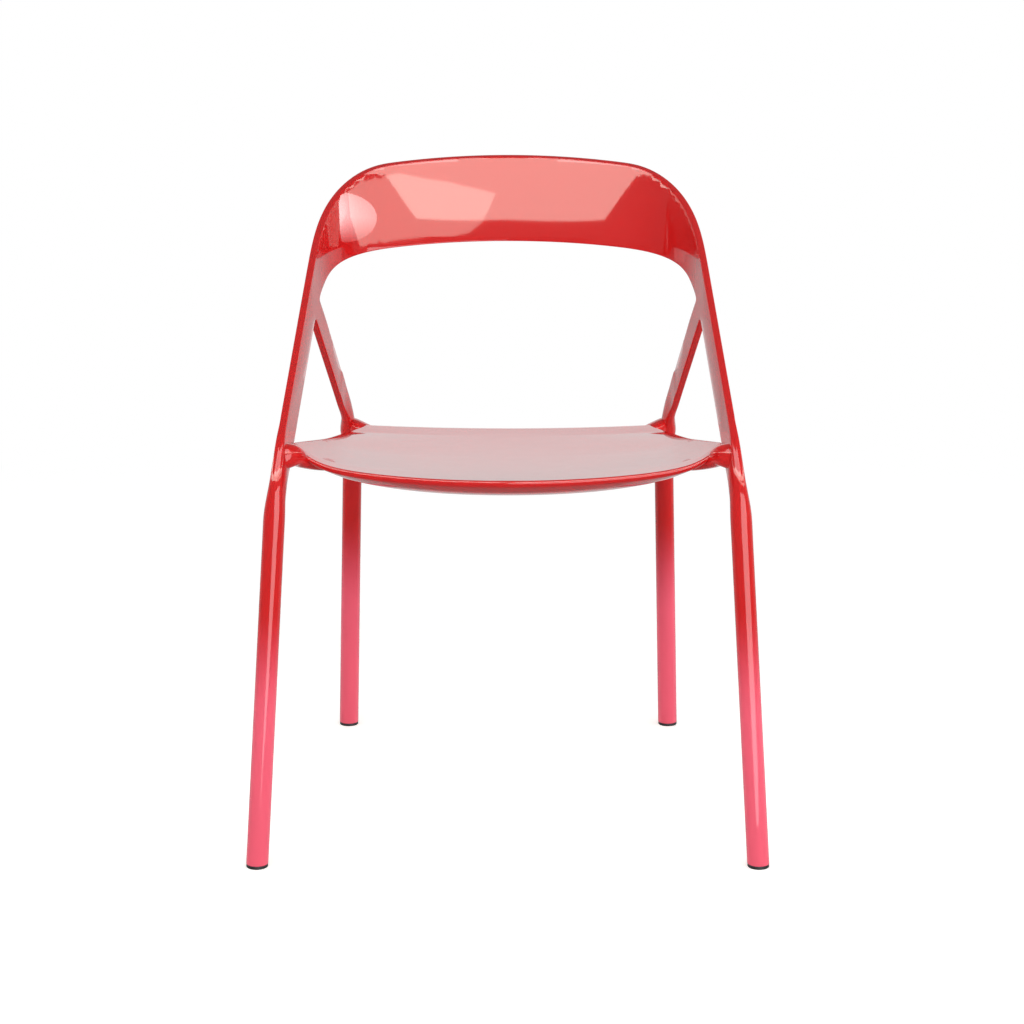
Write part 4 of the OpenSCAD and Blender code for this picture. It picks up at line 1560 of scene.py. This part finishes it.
def new_material(name: str) -> tuple:
    """Make a material.

    Args:
        name: Its name.

    Returns:
        The material and its empty net.
    """
    material = bpy.data.materials.new(name)
    material.use_nodes = True
    return material, ShaderNet(material.node_tree)


@dataclass(frozen=True)
class Lacquer:
    """Gloss lacquer over a smooth laminate, whose colour may fade near the floor to a second colour that is
    painted light from the pale floor.

    Attributes:
        name: Name of the material.
        colour: Colour of the lacquer.
        fade: Colour near the floor, painted light that the pale floor throws on the legs, or None.
        fade_z: Heights in metres at which that painted floor light starts and ends, going down.
        roughness: Mean roughness of the pigment coat.
        dust: How much that roughness varies.
        ripple: Height of the faint orange peel, as a Bump distance in metres.
        tone: How far the colour varies.
        shade: Brightness of the darker tone.
        cloud_scale: Scale of the tones.
        peel_scale: Scale of the orange peel.
        dust_scale: Scale of the varying roughness.
    """

    name: str
    colour: tuple
    fade: tuple | None = None
    fade_z: tuple = (0.31, 0.17)
    roughness: float = 0.22
    dust: float = 0.06
    ripple: float = 0.000004
    tone: float = 0.08
    shade: float = 0.8
    cloud_scale: float = 9.0
    peel_scale: float = 160.0
    dust_scale: float = 60.0

    def make(self) -> bpy.types.Material:
        """Make the material."""
        material, net = new_material(self.name)
        place = net.place()
        tone = Value(net, net.noise(place, self.cloud_scale, 3.0)) * self.tone
        base = net.mix(tone, (*self.colour, 1), (*(c * self.shade for c in self.colour), 1))
        # Painted light: towards the floor the colour turns to the pink that the pale floor's light gives the
        # legs
        if self.fade:
            high = net.node("ShaderNodeSeparateXYZ", {}, {0: place}).outputs[2]
            base = net.mix(net.ease(high, *self.fade_z), base, (*self.fade, 1))
        dust = Value(net, net.noise(place, self.dust_scale, 4.0))
        rough = dust * self.dust + (self.roughness - self.dust / 2)
        bump = net.bump(net.noise(place, self.peel_scale, 1.0), 0.25, self.ripple)
        sockets = {"Base Color": base, "Roughness": rough, "Normal": bump, "IOR": 1.5}
        sockets |= {"Specular IOR Level": 0.05, "Coat Weight": 1.0, "Coat Roughness": 0.02, "Coat IOR": 1.5}
        net.finish(net.shade("ShaderNodeBsdfPrincipled", sockets))
        return material


@dataclass(frozen=True)
class Plain:
    """A plain moulded, foamed or turned finish with a fine grain.

    Attributes:
        name: Name of the material.
        colour: Its colour.
        other: Second colour of its grain.
        scale: Scale of the grain.
        roughness: Its mean roughness.
        metallic: 1 for metal.
        relief: Height of the grain, as a Bump distance in metres.
        vary: How much the roughness varies.
        stops: Values of the grain at which it has the two colours.
    """

    name: str
    colour: tuple
    other: tuple
    scale: float = 300.0
    roughness: float = 0.5
    metallic: float = 0.0
    relief: float = 0.0001
    vary: float = 0.2
    stops: tuple = (0.35, 0.65)

    def make(self) -> bpy.types.Material:
        """Make the material."""
        material, net = new_material(self.name)
        grain = net.noise(net.place(), self.scale, 5.0)
        stops = tuple(zip(self.stops, (self.colour, self.other)))
        base = net.node("ShaderNodeValToRGB", {"stops": stops}, {"Fac": grain}).outputs[0]
        rough = Value(net, grain) * self.vary + (self.roughness - self.vary / 2)
        bump = net.bump(grain, 0.4, self.relief)
        sockets = {"Base Color": base, "Roughness": rough, "Normal": bump, "Metallic": self.metallic}
        net.finish(net.shade("ShaderNodeBsdfPrincipled", sockets))
        return material


@dataclass(frozen=True)
class SoftBox:
    """A glowing cloth round the chair, seen from the backrest between given directions.

    Attributes:
        name: Its name.
        radiance: Its brightness.
        low: Its lower edge, as azimuth and elevation in degrees, from left to right.
        high: Its upper edge, likewise.
        radius: Its distance in metres.
        centre: The point that it is seen from, in metres in the frame of the part.
        diffuse: False for one that only shows in gloss.
        glossy: False for one that never shows in gloss.
        colour: Its colour.
        columns: Faces from one point of an edge to the next.
        rows: Faces from the lower to the upper edge.
    """

    name: str
    radiance: float
    low: tuple
    high: tuple
    radius: float = 3.4
    centre: tuple = (0.0, 0.14, 0.7)
    diffuse: bool = True
    glossy: bool = True
    colour: tuple = (1.0, 1.0, 1.0)
    columns: int = 6
    rows: int = 8

    @staticmethod
    def along(edge: tuple, t: float) -> tuple:
        """Return a point of an edge.

        Args:
            edge: The edge.
            t: Share of the way along it.

        Returns:
            Azimuth and elevation in degrees.
        """
        i = min(len(edge) - 2, int(t * (len(edge) - 1)))
        k = t * (len(edge) - 1) - i
        return tuple(lerp(a, b, k) for a, b in zip(edge[i], edge[i + 1]))

    def build(self) -> None:
        """Make the cloth from a flat grid that is bent round the chair."""
        bm = bmesh.new()
        columns = self.columns * (len(self.low) - 1)
        bmesh.ops.create_grid(bm, x_segments=columns, y_segments=self.rows, size=0.5)
        for vert in bm.verts:
            low, high = (self.along(edge, vert.co.x + 0.5) for edge in (self.low, self.high))
            az, el = (math.radians(lerp(a, b, vert.co.y + 0.5)) for a, b in zip(low, high))
            way = Vector((math.sin(az) * math.cos(el), -math.cos(az) * math.cos(el), math.sin(el)))
            vert.co = Vector(self.centre) + way * self.radius
        material, net = new_material(self.name)
        net.finish_glow((*self.colour, 1), self.radiance)
        stage_mesh(bm, self.name, material, (False, self.diffuse, self.glossy))


@dataclass(frozen=True)
class SpotGlow:
    """A small round glow close to the left corner of the backrest, which shows there as a disc.

    Attributes:
        name: Its name.
        centre: Its centre, in metres in the frame of the part.
        across: Direction and length of its half width.
        up: Direction and length of its half height.
        radiance: Its brightness in the middle.
        around: Points round its rim.
        dim: How much it dims towards the rim.
        foot: How fast it dims towards its foot, and its share in the middle.
    """

    name: str = "spot_glow"
    centre: tuple = (-0.1744, 0.1178, 0.7003)
    across: tuple = (-0.022, -0.0088, 0.0048)
    up: tuple = (0.0037, 0.0074, 0.0302)
    radiance: float = 9.0
    around: int = 64
    dim: float = 0.35
    foot: tuple = (0.8, 0.9)

    def build(self) -> None:
        """Make the glow as a disc that only shines forwards."""
        bm = bmesh.new()
        bmesh.ops.create_circle(bm, cap_ends=True, segments=self.around, radius=1)
        material, net = new_material(self.name)
        split = net.node("ShaderNodeSeparateXYZ", {}, {0: net.place()})
        x, y = (Value(net, socket) for socket in split.outputs[:2])
        behind = Value(net, net.node("ShaderNodeNewGeometry").outputs["Backfacing"])
        foot = (y * self.foot[0] + self.foot[1]).clamp()
        net.finish_glow((1.0 - (x * x + y * y) * self.dim) * foot * (1.0 - behind), self.radiance)
        across, up = Vector(self.across), Vector(self.up)
        basis = Matrix((across, up, across.cross(up).normalized())).transposed().to_4x4()
        at = Matrix.Translation(self.centre) @ basis
        stage_mesh(bm, self.name, material, (False, False, True), at)


def level(elevation: float, *azimuths: float) -> tuple:
    """Return an edge at one elevation through some azimuths."""
    return tuple((azimuth, elevation) for azimuth in azimuths)


@dataclass(frozen=True)
class BackWall:
    """The wall behind the chair, in bands that get brighter upwards.

    Attributes:
        bands: Number of bands.
        step: Height of a band, in degrees.
        low: Elevation of its lower edge, in degrees.
        high: Elevation of its upper edge, up to which the top band goes on.
        radiance: Brightness of the lowest band.
        rise: How much brighter each band is than the one below it.
        around: Azimuths of the points of its edges, in degrees.
        radius: Its distance in metres.
    """

    bands: int = 16
    step: float = 0.75
    low: float = -4.0
    high: float = 26.0
    radiance: float = 0.46
    rise: float = 0.02
    around: tuple = (110, 180, 250)
    radius: float = 5.0

    def boxes(self) -> list:
        """Return its bands as soft boxes."""
        heights = [*(self.low + self.step * i for i in range(self.bands)), self.high]
        edges = [level(height, *self.around) for height in heights]
        return [
            SoftBox(f"back_band_{i}", self.radiance + self.rise * i, edges[i], edges[i + 1], self.radius)
            for i in range(self.bands)
        ]


# The points of an edge lie where its reflection ends on the backrest, the arms and the seat
SOFT_BOXES = (
    SoftBox(
        "ceiling_box", 6.2,
        ((-123, 0.1), (-105.7, 3.3), (-88, 6.9), (-65, 11.8), (-46, 15), (-31.6, 16.7), (-23.3, 17.2),
         (-16.6, 17.3), (-14.4, 17.1), (-13.5, 16.8), (-12.8, 16.5), (-12.1, 16.2), (0, 16.5), (11.3, 16.3),
         (12.1, 16.6), (12.8, 16.9), (13.5, 17.2), (14.3, 17.5), (17.8, 17.7), (23.4, 17.55), (40.3, 15.9),
         (51.8, 14.2), (65.6, 11.8), (78.5, 9.2), (92.6, 6.3), (111, 2.4)),
        ((-124, 3), (-107, 6), (-90, 9.9), (-68, 15.5), (-50, 24), (-40, 27), (-28, 27.5), (-20, 28),
         (-16, 28), (-14, 28), (-13, 28), (-12, 28), (0, 28), (11, 28), (12, 28), (13, 28), (14, 28),
         (16, 28), (20, 28), (26, 28), (42, 26), (54, 20), (68, 15.2), (80, 12), (93, 9), (111, 5)),
        colour=WARM,
    ),
    SoftBox(
        "right_box", 4.0,
        ((1.2, 17.55), (1.4, 17.5), (1.9, 17), (2.6, 16.4), (4.1, 15.9), (6.5, 15.65), (11, 15.5),
         (13.5, 15.3), (20, 14.7), (29.6, 13.9), (48, 11.2), (68, 7.5), (77, 6.4), (86, 5.3), (94.4, 4.3),
         (104.2, 3.1)),
        ((1.25, 17.6), (1.45, 17.62), (2, 17.68), (2.7, 17.75), (4.2, 17.85), (6.6, 18), (11.2, 18.05),
         (13.8, 18.1), (23.7, 17.35), (40.3, 15.5), (51.6, 13.7), (65.3, 11.3), (75.6, 9.2), (85.2, 7.1),
         (94.4, 5.2), (103, 3.5)),
        3.8, colour=WARM,
    ),
    SoftBox(
        "low_right_box", 3.9,
        ((0.0, -24.0), (26.0, -22.0), (41.0, -19.5), (48.0, -17.0), (54.0, -13.0), (58.0, -5.0)),
        ((0.0, 8.0), (12.0, 8.0), (24.0, 8.0), (36.0, 8.0), (50.0, 7.0), (60.0, 4.0)),
        8.0, diffuse=False,
    ),
    SoftBox(
        "high_left_box", 4.0, level(23, -55, -38, -20, -2), ((-55, 58), (-38, 60), (-20, 60), (-2, 58)),
        3.8, diffuse=False,
    ),
    SoftBox(
        "high_right_box", 4.0, level(23, 2, 20, 38, 55), ((2, 58), (20, 60), (38, 60), (55, 58)),
        3.8, diffuse=False,
    ),
    SoftBox("right_fill", 3.0, level(-14, 60, 90, 120), level(6, 60, 90, 120), 4.0, glossy=False),
    SoftBox(
        "low_back_box", 0.2, level(-50, 100, 140, 180, 220, 260), level(-4, 100, 140, 180, 220, 260),
        5.0, diffuse=False,
    ),
    SoftBox(
        "low_back_right_box", 0.06, level(-14, 110, 140, 176), level(-4, 110, 140, 176),
        5.0, diffuse=False,
    ),
    SoftBox(
        "under_back_box", 0.3, level(-50, 169, 180, 191), level(-5, 169, 180, 191),
        5.2, diffuse=False,
    ),
    *BackWall().boxes(),
)


@dataclass
class Studio:
    """Camera, lights, world and floor.

    Attributes:
        camera_at: Place of the camera.
        pitch: How far it looks down, in degrees.
        focal_px: Its focal length in pixels of the picture.
        image_px: Width of the picture in pixels.
        principal_x: The pixel column that it looks along.
        sensor: Width of its sensor in millimetres.
        ambient: Brightness of the world for all but the camera.
        floor_size: Half width of the floor in metres.
        floor_glow: Brightness that the floor has of its own for the camera.
        floor_tone: How bright the floor is for light.
        floor_shown: The two tones in which the camera sees its surface.
        floor_grain: Scale of those tones.
        floor_fade: Distances in metres over which the floor fades to white.
    """

    camera_at: tuple = (3.6, -2578.0, 1010.0)
    pitch: float = 13.0
    focal_px: float = 2400.0
    image_px: float = 1024.0
    principal_x: float = 510.9
    sensor: float = 36.0
    ambient: float = 0.28
    floor_size: float = 30.0
    floor_glow: float = 0.45
    floor_tone: float = 0.75
    floor_shown: tuple = (0.9, 0.92)
    floor_grain: float = 3.0
    floor_fade: tuple = (0.9, 2.2)

    def camera(self) -> None:
        """Put the camera where the photograph was taken from."""
        data = bpy.data.cameras.new("camera")
        data.sensor_width = self.sensor
        data.lens = self.focal_px / self.image_px * self.sensor
        data.shift_x = (self.image_px / 2 - self.principal_x) / self.image_px
        rig = add_object("camera", data)
        x, y, z = self.camera_at
        rig.location = (x * MM, (y - LEGS.middle_y) * MM, z * MM)
        rig.rotation_euler = (math.radians(90 - self.pitch), 0, 0)
        bpy.context.scene.camera = rig

    def world(self) -> None:
        """Light the scene evenly and show white behind it."""
        world = bpy.data.worlds.new("studio")
        bpy.context.scene.world = world
        world.use_nodes = True
        net = ShaderNet(world.node_tree)
        light = net.shade("ShaderNodeBackground", {"Color": WHITE, "Strength": self.ambient})
        white = net.shade("ShaderNodeBackground", {"Color": WHITE, "Strength": 1.0})
        both = net.shade("ShaderNodeMixShader", {0: net.seen(), 1: light, 2: white})
        net.finish(both, "ShaderNodeOutputWorld")

    def floor(self) -> None:
        """Add the pale floor, which shows white where no shadow falls on it."""
        bm = bmesh.new()
        bmesh.ops.create_grid(bm, x_segments=1, y_segments=1, size=self.floor_size)
        material, net = new_material("pale_floor")
        place = net.place()
        tones = [(tone, tone, tone, 1) for tone in (self.floor_tone, *self.floor_shown)]
        matt = net.shade("ShaderNodeBsdfDiffuse", {"Color": tones[0]})
        shown = net.mix(net.noise(place, self.floor_grain, 2.0), *tones[1:])
        bright = net.shade("ShaderNodeBsdfDiffuse", {"Color": shown})
        glow = net.shade("ShaderNodeEmission", {"Color": WHITE, "Strength": self.floor_glow})
        near = net.shade("ShaderNodeAddShader", {0: bright, 1: glow})
        white = net.shade("ShaderNodeEmission", {"Color": WHITE, "Strength": 1.0})
        reach = net.node("ShaderNodeVectorMath", {"operation": "LENGTH"}, {0: place}).outputs["Value"]
        both = net.shade("ShaderNodeMixShader", {0: net.ease(reach, *self.floor_fade), 1: near, 2: white})
        net.finish(net.shade("ShaderNodeMixShader", {0: net.seen(), 1: matt, 2: both}))
        stage_mesh(bm, "floor", material, (True, True, False))

    def build(self) -> None:
        """Make the whole studio."""
        self.camera()
        self.world()
        self.floor()
        for light in (*SOFT_BOXES, SpotGlow()):
            light.build()
        bpy.context.scene.view_settings.view_transform = "Standard"


FRONT_NECK = (
    ((247.5, 27.5, 470), 12, 13), ((245, 30.5, 471.5), 13, 14), ((242, 36, 471.3), 14, 13.2),
    ((239, 41.5, 469.3), 14.6, 11.6), ((236, 46, 466), 14.4, 9.7), ((232, 50.5, 462.5), 14, 8.2),
    ((227, 55, 459.6), 13.6, 7.3), ((220, 60, 457), 13.2, 6.8), ((210, 65.5, 454.3), 13, 6.1),
    ((194, 71, 451), 12, 4.2), ((180, 73, 450), 11, 3), ((170, 74, 449), 9, 1.5),
)
REAR_NECK = (
    ((204.5, 419, 432.5), 9.5, 10), ((196, 413, 432), 11.5, 9.8), ((186, 406, 429.8), 12, 8.2),
    ((173, 400, 425.5), 12.5, 7), ((158, 391, 423), 12.5, 5.5), ((146, 385, 421.5), 10, 2.5),
)


def dress_inner_nodes() -> None:
    """Give each solid that stays, deep inside the shell, its own finish."""
    finishes = {
        "core": Plain("closed_cell_foam", (0.72, 0.66, 0.5), (0.82, 0.78, 0.64), 900, 0.85, 0, 0.0003),
        "tongue": Plain("woven_laminate", (0.02, 0.02, 0.022), (0.09, 0.09, 0.1), 700, 0.4),
        "spigot": Plain("turned_alloy", (0.62, 0.63, 0.65), (0.72, 0.73, 0.75), 200, 0.3, 1.0),
        "plug": Plain("moulded_plug", (0.06, 0.06, 0.06), (0.1, 0.1, 0.1), 500, 0.55),
    }
    made = {word: finish.make() for word, finish in finishes.items()}
    for name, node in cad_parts.items():
        for word, material in made.items():
            if word in name:
                node.data.materials.clear()
                node.data.materials.append(material)
                LOG.info("solid %s: %s", name, material.name)


def main() -> None:
    """Build the chair and the studio round it."""
    logging.basicConfig(level=logging.INFO, format="%(name)s %(message)s")
    shell = Lacquer("red_gloss_lacquer", RED).make()
    # The legs' lacquer turns pink towards the floor, which is painted light from the pale floor
    leg = Lacquer("leg_gloss_lacquer", RED, FLOOR_LIGHT_PINK).make()
    black = Plain("black_glide_plastic", (0.008, 0.008, 0.009), (0.02, 0.02, 0.022), 500, 0.5).make()
    frame_shell = ShellFrame()
    frame_shell.build(shell)
    SeatPan(frame_shell.wall).build(shell)
    for side in Side:
        Neck("front_neck", "front_bracket", FRONT_NECK).build(side, shell)
        Neck("rear_neck", "rear_bracket", REAR_NECK).build(side, shell)
        for word, tube in (("front", LEGS.front), ("rear", LEGS.rear)):
            LegTube(f"{word}_leg", tube).build(side, leg)
            Glide(f"{word}_glide", tube).build(side, black)
    dress_inner_nodes()
    Studio().build()


if __name__ == "__main__":
    main()
